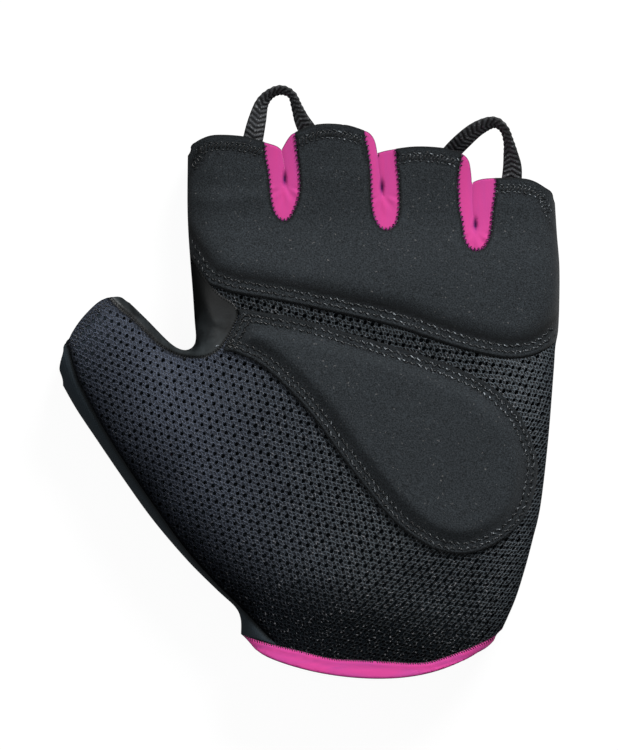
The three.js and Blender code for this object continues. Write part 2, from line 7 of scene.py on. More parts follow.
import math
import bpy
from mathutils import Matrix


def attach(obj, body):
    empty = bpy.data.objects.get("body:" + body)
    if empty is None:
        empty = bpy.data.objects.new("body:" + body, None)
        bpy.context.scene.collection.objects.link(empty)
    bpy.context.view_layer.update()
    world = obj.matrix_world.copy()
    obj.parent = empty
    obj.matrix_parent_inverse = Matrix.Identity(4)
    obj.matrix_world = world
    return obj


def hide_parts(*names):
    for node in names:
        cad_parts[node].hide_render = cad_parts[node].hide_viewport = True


bl_info = {
    "name": "Cycling Glove",
    "version": (1, 0, 0),
    "blender": (4, 5, 0),
    "location": "View3D > Sidebar > Glove",
    "description": "Builds the looks of a fingerless cycling glove around its packed frame",
    "category": "Add Mesh",
}

import bpy
import numpy as np
from mathutils import Vector, geometry
from mathutils.bvhtree import BVHTree
from mathutils.kdtree import KDTree

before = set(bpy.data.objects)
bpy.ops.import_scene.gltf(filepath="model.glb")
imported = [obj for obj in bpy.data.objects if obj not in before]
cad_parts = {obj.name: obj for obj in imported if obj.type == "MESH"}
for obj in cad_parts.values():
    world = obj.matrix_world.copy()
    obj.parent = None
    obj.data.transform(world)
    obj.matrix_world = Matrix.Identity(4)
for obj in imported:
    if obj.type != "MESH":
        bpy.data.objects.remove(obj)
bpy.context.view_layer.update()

MM = 0.001
BODY = "root"

# The photo's frame, in millimetres at the height of the side seam
PHOTO_HEIGHT = 187.5
PHOTO_MIDDLE = 1.75
CAMERA_AWAY = 8.0  # metres
SENSOR = 24  # millimetres

# The studio
FLOOR_GLOW = 0.94
ROOM_LIGHT = 0.3
# A key from the fingers' side and a weak fill: name, place in metres, size and power
LIGHTS = (("Key Light", (0.5, 1.0, 0.95), 0.55, 21.0), ("Fill Light", (-1.0, 0.25, 0.9), 0.8, 2.6))

# The form
SEAM_Z = 10.0  # height of the side seam
BACK_DEPTH = 11.0  # how far the back would swell below the seam, were it not resting flat
ROUND_SIDE = 4.0  # how quickly the outer sides round over
ROUND_SLOT = 3.4  # the same between the fingers
TOUCH = 0.965  # how much of the height is left where two fingers press together
TOUCH_ROUND = 1.0
RIM_REACH = 9.0  # how far walls are drawn past the open rims
CUFF_REACH = {"thumb_side": 13.0, "little_side": 19.0}
FAR = 90.0  # a distance past the whole glove
PALM_ROWS = {"y": (-76, -45, -10, 20, 42, 90), "height": (15, 16.5, 16, 13.5, 10.2, 9.4)}
MOUNDS = (
    {"x": -26, "y": -18, "reach": 20, "height": 2.4},
    {"x": 30, "y": -30, "reach": 24, "height": 1.2},
)
THUMB = {"x": -40, "y": -5, "dx": -0.62, "dy": 0.785, "start": -12, "end": 24, "height": 10.6, "lift": 7}
HAND_EDGE = (-35, -26)
CURL = {"start": 36, "end": 64, "lift": 4}
# Soft waves that break the plain form: direction, wavelength, phase and height of each
WAVES = (
    {"dx": 0.83, "dy": 0.56, "length": 31, "phase": 0.4, "height": 0.16},
    {"dx": -0.34, "dy": 0.94, "length": 23, "phase": 2.1, "height": 0.13},
    {"dx": 0.62, "dy": -0.78, "length": 14, "phase": 4.0, "height": 0.07},
)

# Padding
PATCH_EDGE = 0.8
KNUCKLE_SWELL = 2.2
PAD_LIFT = 1.35  # height of the heel pad's stitched margin over the mesh
PAD_SWELL = 2.4
PAD_RUN = 3.4
STITCH_MARGIN = 2.8
SWELL_RUN = 5.5

# Plan outline: walls between the open rims, drawn clockwise with the glove on the right
THUMB_SIDE = (
    (-17, -63), (-17.1, -59.2), (-18.5, -56.2), (-23, -52), (-30.5, -44.5), (-39, -34.5),
    (-46.2, -24.5), (-53, -14.5), (-58, -7), (-61.4, -1),
)
INDEX_SIDE = (
    (-44.8, 19.8), (-40.5, 15.6), (-35.5, 10.5), (-33, 8.6), (-30.8, 8), (-29, 8.9), (-28.3, 11),
    (-28.6, 15.5), (-29.1, 23), (-29.7, 30.5), (-30.2, 38), (-30.4, 45.5), (-30.3, 56.8),
)
LITTLE_SIDE = (
    (61.6, 43), (62, 36.8), (62.6, 29.2), (62.6, 20.5), (62.3, 13), (61.6, 8.8), (61.2, 3),
    (59.8, -14.5), (57.9, -30.8), (55.9, -39.5), (53.9, -47), (51.5, -54.5), (48.2, -62),
)
SLOTS = {
    "index_middle": ((-6.9, 58.1), (-6.2, 54.2), (-5.8, 51), (-5.5, 48.5)),
    "middle_ring": ((17.1, 57), (17.5, 53), (18, 49.2), (18.5, 46.5)),
    "ring_little": ((40.8, 49.8), (40.8, 45.5), (41, 41.8), (41.5, 39)),
}
FINGER_RIMS = (
    ((-36, 50), (-30.1, 56.8), (-29.4, 59.2), (-26.6, 60.9), (-23, 61.6), (-16.5, 61.2),
     (-11.5, 59.9), (-8.2, 58.9), (-6.9, 58)),
    ((-6.9, 58), (-5.1, 60.9), (-3.5, 62.2), (1.7, 64.2), (6, 64.5), (10, 63.9), (13.2, 62.9),
     (15.2, 62), (16.5, 60.1), (17.1, 57.1)),
    ((17.1, 57.1), (19.2, 57.7), (24.2, 58.5), (28, 58.7), (31.9, 58.5), (34.5, 58.1), (38.2, 56.9),
     (39.9, 55.2), (40.5, 52.5), (40.7, 49.8)),
    ((40.7, 49.8), (43, 50.6), (46.8, 50.9), (53.5, 50.8), (56.8, 50), (59.4, 48.5), (60.8, 47.1),
     (61.6, 44.5), (66, 36)),
)
THUMB_RIM = (
    (-66, -12), (-61.6, -1.5), (-62.4, 3.5), (-61.6, 7.2), (-60.2, 10.5), (-57, 15.5), (-52.8, 19.8),
    (-49.8, 21.2), (-47, 21.2), (-44.8, 19.8), (-38, 17),
)
CUFF_RIM = (
    (58, -55), (48, -62), (46, -64.8), (43.2, -67.1), (38.8, -69.6), (32.2, -72.1), (25.2, -73.6),
    (17.5, -74.1), (9, -73.6), (0.2, -72.1), (-8.2, -69.6), (-13.2, -67.1), (-17, -63), (-26, -58),
)

# Seams in plan
KNUCKLE_SEAM = (
    (-36, 40), (-29.5, 30), (-26, 25.2), (-22, 23.4), (-18.2, 22.2), (-7.8, 20.4), (2.8, 18.2),
    (13.2, 15.9), (22.8, 13.5), (29.8, 11.1), (35.5, 9.2), (43, 7.1), (48.8, 6.1), (53.6, 6.2),
    (58, 7.5), (62, 10.5), (68, 16),
)
CUFF_SEAM = (
    (-24, -60), (-17, -63), (-11.8, -64.8), (-2.2, -67.1), (5.2, -68.9), (12.8, -69.4),
    (20.2, -69.8), (26.5, -70.1), (30.8, -69.6), (38.2, -67.2), (42.8, -65.4), (45.4, -64), (47.3, -62.6),
    (52, -57),
)
SIDE_STRIP_SEAM = (
    (-61.5, 14), (-58.5, 2.5), (-56.2, -2.8), (-51.2, -12), (-45.5, -21), (-38.5, -31.2),
    (-31, -41.5), (-23.5, -50), (-17.2, -56.2), (-11.8, -62), (-4, -70),
)
GUSSET_SEAM = (
    (-36, 42), (-29.5, 31.2), (-26.2, 26), (-22.6, 21.9), (-19.2, 19.6), (-17.8, 17.2), (-19, 13.8),
    (-20.8, 10.5), (-23.1, 7.8), (-26, 6.4), (-29.5, 6.2), (-33.2, 7), (-37.2, 9.2), (-39.8, 11.6),
    (-44, 15.8), (-47.8, 18.9), (-53, 25),
)
FOURCHETTE_SEAMS = {
    "index_middle": (
        (-11.4, 72), (-11.2, 59.9), (-10.9, 55.8), (-10.2, 52.1), (-9.7, 46.9), (-9.2, 43.8),
        (-8.2, 41.5), (-6.5, 40.3), (-4.9, 40.8), (-3.7, 42.8), (-2.6, 45.8), (-2.2, 49),
        (-2.5, 54.1), (-3.2, 59.2), (-4, 72),
    ),
    "middle_ring": (
        (13.2, 72), (13.8, 62.2), (14.5, 58.1), (15.2, 53.3), (15.4, 48.1), (15.6, 43.8),
        (16.3, 40.9), (17.6, 38.7), (19.2, 38), (20.7, 38.5), (21.9, 39.9), (22.5, 42.6), (22.6, 46),
        (22.3, 52.1), (21.9, 55.6), (21.4, 72),
    ),
    "ring_little": (
        (38.6, 72), (38, 56.4), (37.4, 53.3), (37.2, 49.1), (37.4, 43.8), (38.1, 40.2), (38.7, 36),
        (39.8, 33.8), (41.5, 32.9), (43.4, 33.4), (44.8, 35.3), (45.5, 38), (45.9, 42.2), (46.4, 46),
        (46.8, 50.8), (47, 72),
    ),
}
HEEL_PAD = (
    (-18.2, 18.4), (-14, 17.8), (-5.5, 16.4), (2.8, 14.4), (11.5, 11.8), (22.8, 8.5), (36.2, 3.8),
    (45.5, -1), (52.2, -7.5), (56, -15.2), (57.2, -21.8), (55.6, -30.2), (52.5, -35.8), (47.1, -40.2),
    (40, -42.8), (33, -42.2), (26.5, -39), (20, -33.6), (14.5, -27), (8, -18.5), (1, -8.8), (-6, -1),
    (-12.5, 4.6), (-19, 7.6), (-21.4, 8), (-20, 11.4), (-18.4, 14.2), (-17.4, 17),
)

# Pull loops: the band's middle line, and how far its outer edge turns up out of the flat
LOOP_ROWS = {
    "index_middle": (
        (-14.9, 52.5, 15.4, 12), (-14.6, 57.5, 15.4, 14), (-13.8, 61.5, 15.4, 20), (-12.9, 65.5, 15.2, 34),
        (-11.7, 69.6, 15, 54), (-9.6, 72, 14.8, 66), (-6.9, 72.9, 14.6, 68), (-4.3, 71.7, 14.6, 72),
        (-3, 68.5, 14.8, 62), (-1.8, 65.4, 15, 46), (-0.1, 62.2, 15.1, 30), (1.6, 57.5, 15.4, 20),
        (1.8, 53, 15.4, 18),
    ),
    "ring_little": (
        (33.4, 47.5, 13.9, 26), (33.4, 52.5, 12.9, 34), (34.8, 56.4, 11.8, 36), (39.4, 61.2, 14.2, 40),
        (43, 63.8, 15, 50), (46.4, 64.8, 14.8, 62), (48.7, 63.2, 14.8, 70), (49.8, 60.2, 14.9, 66),
        (50.4, 56.8, 15, 48), (50.8, 53.3, 14.8, 28), (50.5, 48.5, 14.3, 12), (50.5, 43.5, 14.3, 8),
    ),
}

# The deepest place between two fingers, just above the end of each slot
DIMPLES = {"index_middle": (-6.1, 50.6), "middle_ring": (18.2, 48.6), "ring_little": (41.5, 39.2)}
# Folds of the leather in the crotch
CREASES = (
    ((-28.4, 9.6), (-26.4, 11.2), (-23.4, 12.3)),
    ((-31, 21.5), (-29.4, 16.5), (-27.6, 13.4)),
)
# Soft folds across the fingers: a line, its height and its reach
SOFT_FOLDS = (
    (((-31, 46.2), (-22, 45.4), (-13, 46.6)), 0.6, 1.8),
    (((-31, 49.8), (-22, 48.6), (-14, 49)), -0.3, 2),
    (((1, 52), (7, 50.5), (13, 51.5)), 0.2, 1.8),
    (((50, 33), (56, 31.5), (62, 32)), 0.2, 2),
    (((-30.5, 29), (-27, 21.5), (-23.5, 15)), 0.5, 1.3),
    (((-30, 18), (-26, 14.2), (-21.5, 12.4)), -0.4, 1.2),
)
# Middle of the band in which the mesh's painted shade passes from light to dark
DUSK = (
    (-70, 8), (-60, 3), (-52, -5.5), (-45, -14.5), (-37, -22), (-33, -29.5), (-27, -34.5), (-21, -40.7),
    (-10, -47.5), (0, -51), (15, -54), (30, -59), (50, -66), (60, -72),
)

# Rows of stitches, as distances in from a piece's edge
KNUCKLE_ROWS = (1.5, 3.0)
PAD_ROWS = (1.3, 2.7)
HEM_ROWS = (1.7, 3.5)
THUMB_HEM_ROWS = (1.0, 2.0)

# The mesh's holes: the shift from row to row, their spacing, which narrows towards the glove's sides, and
# how the holes lean
ROW_SHIFT = 0.19
ROW_STEP = 1.05
COLUMN_NARROWING = ((28, 0.0026), (-25, -0.0021))
ROW_NARROWING = ((5, 0.0022), (-15, -0.0008))
MESH_LEAN = math.radians(50)
HOLE_STRAY = 0.07
HOLE_SIZES = (0.8, 1.15)
HOLE_CLEAR = 0.7  # how far the holes' middles keep from every edge
HEM_CLEAR = 2.4  # and from the thumb's rim
PAD_OVERLAP = 1.2  # how far the holes go on under the heel pad
HOLE_LIP = 0.6  # how much wider the ring of points round a hole is
SAG = (0.26, 0.00185)
DROOP = 0.0059
DROOP_FROM = 44  # where the droop beside the heel pad starts

# Rows of points beside a wall and beside a seam, as distances from it
WALL_ROWS = (0.01, 0.04, 0.12, 0.28, 0.5, 0.8)
OUTER_WALL_ROWS = (1.2, 1.7, 2.4, 3.2, 4.2)
SEAM_ROWS = (0.1, 0.25, 0.45, 0.75, 1.2)
LINE_STEP = 0.5
OUTER_WALL_STEP = 0.9
SEAM_STEP = 0.8
MESH_GRID = 1.0
BACK_GRID = 1.6  # the back is plain, and hardly seen
PLAN_BOX = ((-64, -76), (64, 67))

# Depths and heights of the marks in the cloth
GROOVE_DEPTH = 0.95
DIMPLE_DEPTH = 1.2
CREASE_HEIGHT = 0.65
CREASE_REACH = 0.55
RIPPLE_HEIGHT = 0.17
TUCK = 0.6  # how far a piece runs on under the cloths beside it
TUCK_DEPTH = 0.3
STRIP_TUCK = 1.0
STRIP_DEPTH = 0.7

# Walls of the pieces that aren't plain cloth, and the webbing
MESH_WALL = 1.1
PAD_WALL = 1.0
ELASTIC_WALL = 1.0
BINDING_WALL = 1.4
LOOP_WIDTH = 5.2
LOOP_THICK = 1.0
RIB_PITCH = 1.25
TURN_WEIGHT = 0.002  # millimetres that a degree of the band's turn counts as along its line

# Stitches
HEM_BARE = 9  # steps of a finger's rim without stitches at each end
STITCH_STEP = 0.1
STITCH_STRAY = 0.11
THREAD_END = (((-23.5, 8.7),), ((-22.5, 9.2),))
# Stitches along a row: their length, the gap between them, how far each turns aside and where the row starts
SEAM_STITCH = {"length": 1.3, "gap": 0.5, "slant": 0.7}
# Painted shadow: short dark threads in the gaps between the stitches
STITCH_SHADOW = {"length": 0.8, "gap": 1.0, "slant": -0.6, "start": 0.9}
HEM_STITCH = {"length": 0.9, "gap": 0.5, "slant": 0.3}
THUMB_STITCH = {"length": 0.8, "gap": 0.4, "slant": 0.5}
# Threads across a line: their spacing, their reach to its left and right, and how far they run on along it
HEM_ROPE = {"spacing": 0.95, "before": 0.75, "after": 0.75, "forward": -0.9}
SIDE_OVERLOCK = {"spacing": 1.2, "before": 0.6, "after": 0.3, "forward": 0.25}
CUFF_OVERLOCK = {"spacing": 0.6, "before": 0.3, "after": 0.55, "forward": 0.3}
GUSSET_OVERLOCK = {"spacing": 0.7, "before": 0.45, "after": 0.45, "forward": 0.3}
# Each piece of stitching: its thread's radius, material and slot
THREADS = {
    "knuckle_stitches": (0.19, "thread", "suede"),
    "stitch_shadows": (0.17, "dark_thread", "suede"),
    "hem_stitches": (0.16, "thread", "suede"),
    "hem_cover_stitches": (0.2, "dark_thread", "suede"),
    "pad_stitches": (0.19, "thread", "suede"),
    "finger_side_overlock": (0.17, "dark_thread", "elastic_fabric"),
    "cuff_overlock": (0.13, "dark_thread", "elastic_binding"),
    "gusset_overlock": (0.13, "dark_thread", "smooth_leather"),
    "thumb_hem_stitches": (0.15, "thread", "spacer_mesh"),
    "gusset_thread_end": (0.16, "light_thread", "smooth_leather"),
}


def length(name, description, size):
    return bpy.props.FloatProperty(name=name, description=description, default=size * MM, unit="LENGTH")


class GloveSizes(bpy.types.PropertyGroup):
    """Sizes that a user would change"""

    grid: length("Cloth Grid", "Spacing of the points on plain cloth", 1.1)
    wall: length("Cloth Wall", "Thickness of a cloth piece", 1.25)
    slot_gap: length("Finger Gap", "Half the gap between two fingers", 0.004)
    hole_pitch: length("Hole Pitch", "Distance between the holes of the mesh", 2.0)
    hole_size: length("Hole Size", "Length of a hole of the mesh", 0.97)


def colour(name, description, default):
    return bpy.props.FloatVectorProperty(
        name=name, description=description, default=default, subtype="COLOR", size=3, min=0, max=1
    )


class GloveColours(bpy.types.PropertyGroup):
    """Colours that a user would change"""

    suede: colour("Suede", "Finger panel and heel pad", (0.0215, 0.0258, 0.0295))
    mesh: colour("Mesh", "Yarn of the palm mesh at the thumb", (0.0560, 0.0685, 0.0980))
    mesh_fine: colour("Far Mesh", "Yarn of the palm mesh at the little finger", (0.083, 0.100, 0.115))
    knit: colour("Knit", "Back of the glove", (0.0183, 0.0278, 0.0356))
    leather: colour("Leather", "Thumb gusset", (0.0222, 0.0264, 0.0284))
    pink: colour("Pink", "Finger sides and cuff", (0.675, 0.060, 0.298))
    pink_shade: colour("Pink Shade", "Pink in its folds", (0.545, 0.065, 0.318))
    webbing: colour("Webbing", "Pull loops", (0.022, 0.0235, 0.026))
    thread: colour("Thread", "Sewing thread", (0.0215, 0.0240, 0.0262))


def mm(size):
    """A size property in millimetres"""
    return getattr(bpy.context.scene.glove_sizes, size) / MM


def tint(name):
    return (*getattr(bpy.context.scene.glove_colours, name), 1.0)


# Plan geometry


def evenly(line, step):
    gone = np.r_[0, np.cumsum(np.linalg.norm(np.diff(line, axis=0), axis=1))]
    at = np.linspace(0, gone[-1], max(2, int(math.ceil(gone[-1] / step)) + 1))
    return np.column_stack([np.interp(at, gone, line[:, k]) for k in range(line.shape[1])])


def spline(rows, step=LINE_STEP):
    """A smooth line through rows of points, in even steps"""
    p = np.array(rows, float)
    t = np.linspace(0, 1, 24, endpoint=False)[:, None]
    parts = []
    for i in range(len(p) - 1):
        before, here, there, after = p[max(i - 1, 0)], p[i], p[i + 1], p[min(i + 2, len(p) - 1)]
        leave, arrive = (there - before) / 2, (after - here) / 2
        cubic = 2 * here - 2 * there + leave + arrive
        square = 3 * there - 3 * here - 2 * leave - arrive
        parts.append(cubic * t**3 + square * t**2 + leave * t + here)
    return evenly(np.vstack([*parts, p[-1:]]), step)


def right_of(line):
    along = np.gradient(line, axis=0)
    along /= np.linalg.norm(along, axis=1)[:, None]
    return np.column_stack([along[:, 1], -along[:, 0]])


def extended(line, at_start, at_end):
    start, end = line[0] - line[2], line[-1] - line[-3]
    before = line[0] + start / np.linalg.norm(start) * at_start
    after = line[-1] + end / np.linalg.norm(end) * at_end
    return evenly(np.vstack([before, line, after]), LINE_STEP)


def slot_wall(rows, half):
    """The wall round a slot between two fingers"""
    middle = extended(spline(rows, 0.3), RIM_REACH, 0.01)
    offset = right_of(middle) * half
    start = math.atan2(offset[-1, 1], offset[-1, 0])
    turn = start + np.pi * np.arange(1, 4) / 4
    end = middle[-1] + half * np.column_stack([np.cos(turn), np.sin(turn)])
    return np.vstack([middle + offset, end, (middle - offset)[::-1]])


def in_space(points):
    """Points as lists of three numbers, with plan points at height 0"""
    if points.shape[1] == 2:
        points = np.column_stack([points, np.zeros(len(points))])
    return points.tolist()


def search_tree(points):
    tree = KDTree(len(points))
    for i, p in enumerate(in_space(points)):
        tree.insert(p, i)
    tree.balance()
    return tree


def nearest(tree, points):
    """Number and distance of the tree's point that is nearest to each point"""
    hits = [tree.find(p) for p in in_space(points)]
    return np.array([hit[1] for hit in hits], int), np.array([hit[2] for hit in hits])


line_trees = {}


def distance_to(line, points):
    """Distance of points from a plan line, seen from above: from the stretches beside its nearest point"""
    if id(line) not in line_trees:
        line_trees[id(line)] = (search_tree(line), line)
    points = points[:, :2]
    near, _ = nearest(line_trees[id(line)][0], points)
    out = np.full(len(points), np.inf)
    for start in (np.maximum(near - 1, 0), np.minimum(near, len(line) - 2)):
        a = line[start]
        e = line[start + 1] - a
        t = np.clip(((points - a) * e).sum(1) / (e * e).sum(1), 0, 1)
        out = np.minimum(out, np.linalg.norm(points - a - t[:, None] * e, axis=1))
    return out


def from_lines(lines, points):
    """Distance of points from the nearest of several plan lines"""
    return np.min([distance_to(line, points) for line in lines], axis=0)


def inside(polygon, points):
    """Which points lie in a polygon, by the number of its edges to their right"""
    order = np.argsort(points[:, 1])
    x, y = points[order, :2].T
    hit = np.zeros(len(points), bool)
    for (px, py), (qx, qy) in zip(polygon.tolist(), np.roll(polygon, -1, axis=0).tolist()):
        low, high = np.searchsorted(y, (min(py, qy), max(py, qy)))
        if low < high:
            hit[low:high] ^= x[low:high] < (qx - px) * (y[low:high] - py) / (qy - py) + px
    result = np.empty(len(points), bool)
    result[order] = hit
    return result


def smooth(start, end, value):
    t = np.clip((value - start) / (end - start), 0, 1)
    return t * t * (3 - 2 * t)


def bell(away, reach):
    """1 at distance 0, falling to 0 beyond the reach"""
    return np.exp(-((away / reach) ** 2))


class Plan:
    """The glove seen from above: its walls, rims and seams as lines, and its regions as tests"""

    def __init__(self, gap):
        self.slots = {name: slot_wall(rows, gap) for name, rows in SLOTS.items()}
        self.walls = [
            extended(spline(THUMB_SIDE), CUFF_REACH["thumb_side"], RIM_REACH),
            extended(spline(INDEX_SIDE), RIM_REACH, RIM_REACH),
            *self.slots.values(),
            extended(spline(LITTLE_SIDE), RIM_REACH, CUFF_REACH["little_side"]),
        ]
        self.finger_rims = [spline(rows) for rows in FINGER_RIMS]
        self.thumb_rim = spline(THUMB_RIM)
        self.cuff_rim = spline(CUFF_RIM)
        self.knuckle = spline(KNUCKLE_SEAM)
        self.cuff_seam = spline(CUFF_SEAM)
        self.strip = spline(SIDE_STRIP_SEAM)
        self.tuck = self.strip - right_of(self.strip) * STRIP_TUCK
        self.gusset = spline(GUSSET_SEAM)
        self.fourchettes = {name: spline(rows, 0.35) for name, rows in FOURCHETTE_SEAMS.items()}
        self.pad = spline((*HEEL_PAD, HEEL_PAD[0]))
        self.dusk = spline(DUSK)
        self.creases = [spline(crease) for crease in CREASES]
        self.folds = [(spline(line), height, reach) for line, height, reach in SOFT_FOLDS]
        self.polygons = {
            "outline": np.vstack(self.walls),
            "past_fingers": np.vstack([*self.finger_rims, ((FAR, 36), (FAR, FAR), (-38, FAR), (-38, 50))]),
            "past_thumb": np.vstack([self.thumb_rim, ((-38, 40), (-FAR, 40), (-FAR, -12))]),
            "past_cuff": np.vstack([self.cuff_rim, ((-26, -FAR), (FAR, -FAR), (FAR, -55))]),
            "fingers": np.vstack([self.knuckle, ((FAR, 16), (FAR, FAR), (-FAR, FAR), (-FAR, 40))]),
            "cuff": np.vstack([self.cuff_seam, ((52, -FAR), (-FAR, -FAR), (-FAR, -60))]),
            "strip": np.vstack([self.strip, ((-4, -FAR), (-FAR, -FAR), (-FAR, 14))]),
            "gusset": np.vstack([self.gusset, ((-60, 62),)]),
            "pad": self.pad[:-1],
            **self.fourchettes,
        }
        self.rims = [*self.finger_rims, self.thumb_rim, self.cuff_rim]

    def test(self, name, points):
        return inside(self.polygons[name], points)

    def glove(self, points):
        past = [self.test(name, points) for name in ("past_fingers", "past_thumb", "past_cuff")]
        return self.test("outline", points) & ~np.any(past, axis=0)

    def region(self, name, points):
        """Which points lie in a piece's own region, for a piece that wraps round both sides"""
        return self.glove(points) & self.test(name, points)

    def wraps(self, points):
        names = ("gusset", "cuff", *FOURCHETTE_SEAMS)
        return np.any([self.test(name, points) for name in names], axis=0)


# The form over the plan


def along_thumb(x, y):
    s = (x - THUMB["x"]) * THUMB["dx"] + (y - THUMB["y"]) * THUMB["dy"]
    return smooth(THUMB["start"], THUMB["end"], s) * (1 - smooth(*HAND_EDGE, x))


def palm_height(x, y):
    rows, heights = PALM_ROWS["y"], PALM_ROWS["height"]
    height = np.full(len(x), float(heights[0]))
    for i in range(len(rows) - 1):
        here = y >= rows[i]
        height[here] = (heights[i] + (heights[i + 1] - heights[i]) * smooth(rows[i], rows[i + 1], y))[here]
    for m in MOUNDS:
        height += m["height"] * np.exp(-((x - m["x"]) ** 2 + (y - m["y"]) ** 2) / m["reach"] ** 2)
    return height + (THUMB["height"] - height) * along_thumb(x, y)


def waves(x, y):
    turns = [2 * np.pi * (w["dx"] * x + w["dy"] * y) / w["length"] + w["phase"] for w in WAVES]
    return np.sum([w["height"] * np.sin(turn) for w, turn in zip(WAVES, turns)], axis=0)


def fullness(plan, points):
    """How full the form is, from 0 at a side seam to 1 inland, on the palm side and on the back"""
    top, back = np.ones(len(points)), np.ones(len(points))
    for wall in plan.walls:
        away = distance_to(wall, points)
        if any(wall is slot for slot in plan.slots.values()):
            back *= 1 - np.exp(-away / ROUND_SLOT)
            top *= 1 - (1 - TOUCH**2) * np.exp(-away / TOUCH_ROUND)
            continue
        side = 1 - np.exp(-away / ROUND_SIDE)
        back *= side
        top *= side
    return np.sqrt(np.clip(top, 0, 1)), np.sqrt(np.clip(back, 0, 1))


def near_rows(away, rows, width=0.42):
    """1 on a row of stitches, falling to 0 beside it"""
    return np.max([bell(away - row, width) for row in rows], axis=0)


def dimple(points):
    """1 at the deepest place of each slot"""
    dents = [
        np.exp(-(((points[:, 0] - x) / 0.42) ** 2) - ((points[:, 1] - y) / 1.5) ** 2)
        for x, y in DIMPLES.values()
    ]
    return np.max(dents, axis=0)


def groove(plan, points):
    """1 along the seams that sink between two cloths: the side strip's and the thumb's. The cloths also get
    painted shade there.
    """
    strip = bell(distance_to(plan.strip, points), 0.75) * smooth(-65.6, -63.8, points[:, 1])
    gusset = bell(distance_to(plan.gusset, points), 0.7) * smooth(-24, -34, points[:, 0])
    return np.maximum(strip, gusset)


def mesh_shade(plan, points):
    """Painted shade on the mesh: 0 where lit, 1 towards the wrist and the thumb's outer side, some over the
    palm, the thumb's rim and the gap
    """
    x, y = points.T
    away = distance_to(plan.dusk, points)
    below = y < np.interp(x, plan.dusk[:, 0], plan.dusk[:, 1])
    fold = 1 - smooth(-10, 19, np.where(below, -away, away))
    palm = smooth(-42, -8, x) * (0.4 + 0.16 * loose_part(points) - 0.4 * smooth(38, 60, x))
    hem = 0.5 * bell(distance_to(plan.thumb_rim, points), 3.4)
    gap = (0.62 - 0.06 * smooth(-15, 15, x) + 0.15 * smooth(-6, -20, x)) * gap_part(points)
    return np.max([fold, palm, hem, gap], axis=0)


def loose_part(points):
    """1 towards the heel of the hand, where the mesh's strands close up and slant"""
    return smooth(10, 28, (points[:, 0] - 2) * 0.75 - (points[:, 1] + 35) * 0.66)


def gap_part(points):
    """1 in the gap between the finger panel and the heel pad"""
    x, y = points.T
    return smooth(-1, 1, y - 17.2 + 0.24 * (x + 18)) * smooth(-25, -23, x) * (1 - smooth(32, 50, x))


def lift(x, y):
    """How far the form rises off the table towards the tips of the fingers and the thumb"""
    curl = np.clip((y - CURL["start"]) / (CURL["end"] - CURL["start"]), 0, 1)
    return CURL["lift"] * curl**2 + THUMB["lift"] * along_thumb(x, y) ** 2


def painted_flank_shade(away, run):
    """1 on the foot of a padded piece's slope, where the suede gets painted shade"""
    return bell((away - STITCH_MARGIN - 0.24 * run) / 0.23, run)


def swell(away, run):
    return smooth(STITCH_MARGIN, STITCH_MARGIN + run, away)


def knuckle_raise(plan, points):
    """Height of the finger panel over the form: its own thickness, the foam, and its stitch channels"""
    away = distance_to(plan.knuckle, points)
    fade = 1 - smooth(26, 42, points[:, 1])
    hems = np.max([near_rows(distance_to(rim, points), HEM_ROWS) for rim in plan.finger_rims], axis=0)
    channel = np.maximum(near_rows(away, KNUCKLE_ROWS), hems)
    return PATCH_EDGE + KNUCKLE_SWELL * swell(away, SWELL_RUN) * fade - 0.25 * channel


def pad_raise(plan, points):
    away = distance_to(plan.pad, points)
    return PAD_LIFT + PAD_SWELL * swell(away, PAD_RUN) - 0.27 * near_rows(away, PAD_ROWS)


# Cloth


def beside(line, rows, both):
    """Points at fixed distances from a line, to its right, or to both sides"""
    offset = right_of(line)
    signs = (1, -1) if both else (1,)
    return np.vstack([line + offset * row * sign for row in rows for sign in signs])


def wall_points(plan):
    """Rows beside each wall. The first ones keep its own steps, as the cloth stands nearly upright there."""
    close = [beside(line, WALL_ROWS, False) for line in plan.walls]
    return close + [beside(evenly(line, OUTER_WALL_STEP), OUTER_WALL_ROWS, False) for line in plan.walls]


def hexagons(step, low, high):
    """Points of a triangular grid over a box"""
    rows = np.arange(low[1], high[1], step * math.sqrt(0.75))
    points = []
    for k, y in enumerate(rows):
        x = np.arange(low[0] + (k % 2) * step / 2, high[0], step)
        points.append(np.column_stack([x, np.full(len(x), y)]))
    return np.vstack(points)


def triangulate(lines, loose, closed_loops=()):
    """Delaunay triangles over loose points, with every line kept as edges"""
    points, edges = [], []
    for line in (*lines, *closed_loops):
        start = len(points)
        points.extend(line)
        edges.extend((start + i, start + i + 1) for i in range(len(line) - 1))
    points.extend(loose)
    made = geometry.delaunay_2d_cdt([Vector(p) for p in points], edges, [], 0, 1e-5)
    flat = np.array([tuple(v) for v in made[0]])
    faces = np.array([f for f in made[2] if len(f) == 3])
    a, b, c = flat[faces[:, 0]], flat[faces[:, 1]], flat[faces[:, 2]]
    turn = (b[:, 0] - a[:, 0]) * (c[:, 1] - a[:, 1]) - (b[:, 1] - a[:, 1]) * (c[:, 0] - a[:, 0])
    faces[turn < 0] = faces[turn < 0][:, ::-1]
    return flat, faces[np.abs(turn) > 1e-9]


def new_object(name, points, faces):
    """A mesh object from points in millimetres"""
    mesh = bpy.data.meshes.new(name)
    mesh.from_pydata((points * MM).tolist(), [], faces)
    obj = bpy.data.objects.new(name, mesh)
    bpy.context.scene.collection.objects.link(obj)
    return obj


def new_cloth(name, points, faces):
    """A mesh object from those points that its faces use"""
    used = np.unique(faces)
    index = np.full(len(points), -1)
    index[used] = np.arange(len(used))
    obj = new_object(name, points[used], index[faces].tolist())
    obj.data.validate()
    return obj


def read(items, name, width=1, kind=float):
    """One value, or a row of them, from each item of a mesh"""
    values = np.empty(len(items) * width, kind)
    items.foreach_get(name, values)
    return values.reshape(-1, width) if width > 1 else values


def coordinates(mesh):
    return read(mesh.vertices, "co", 3) / MM


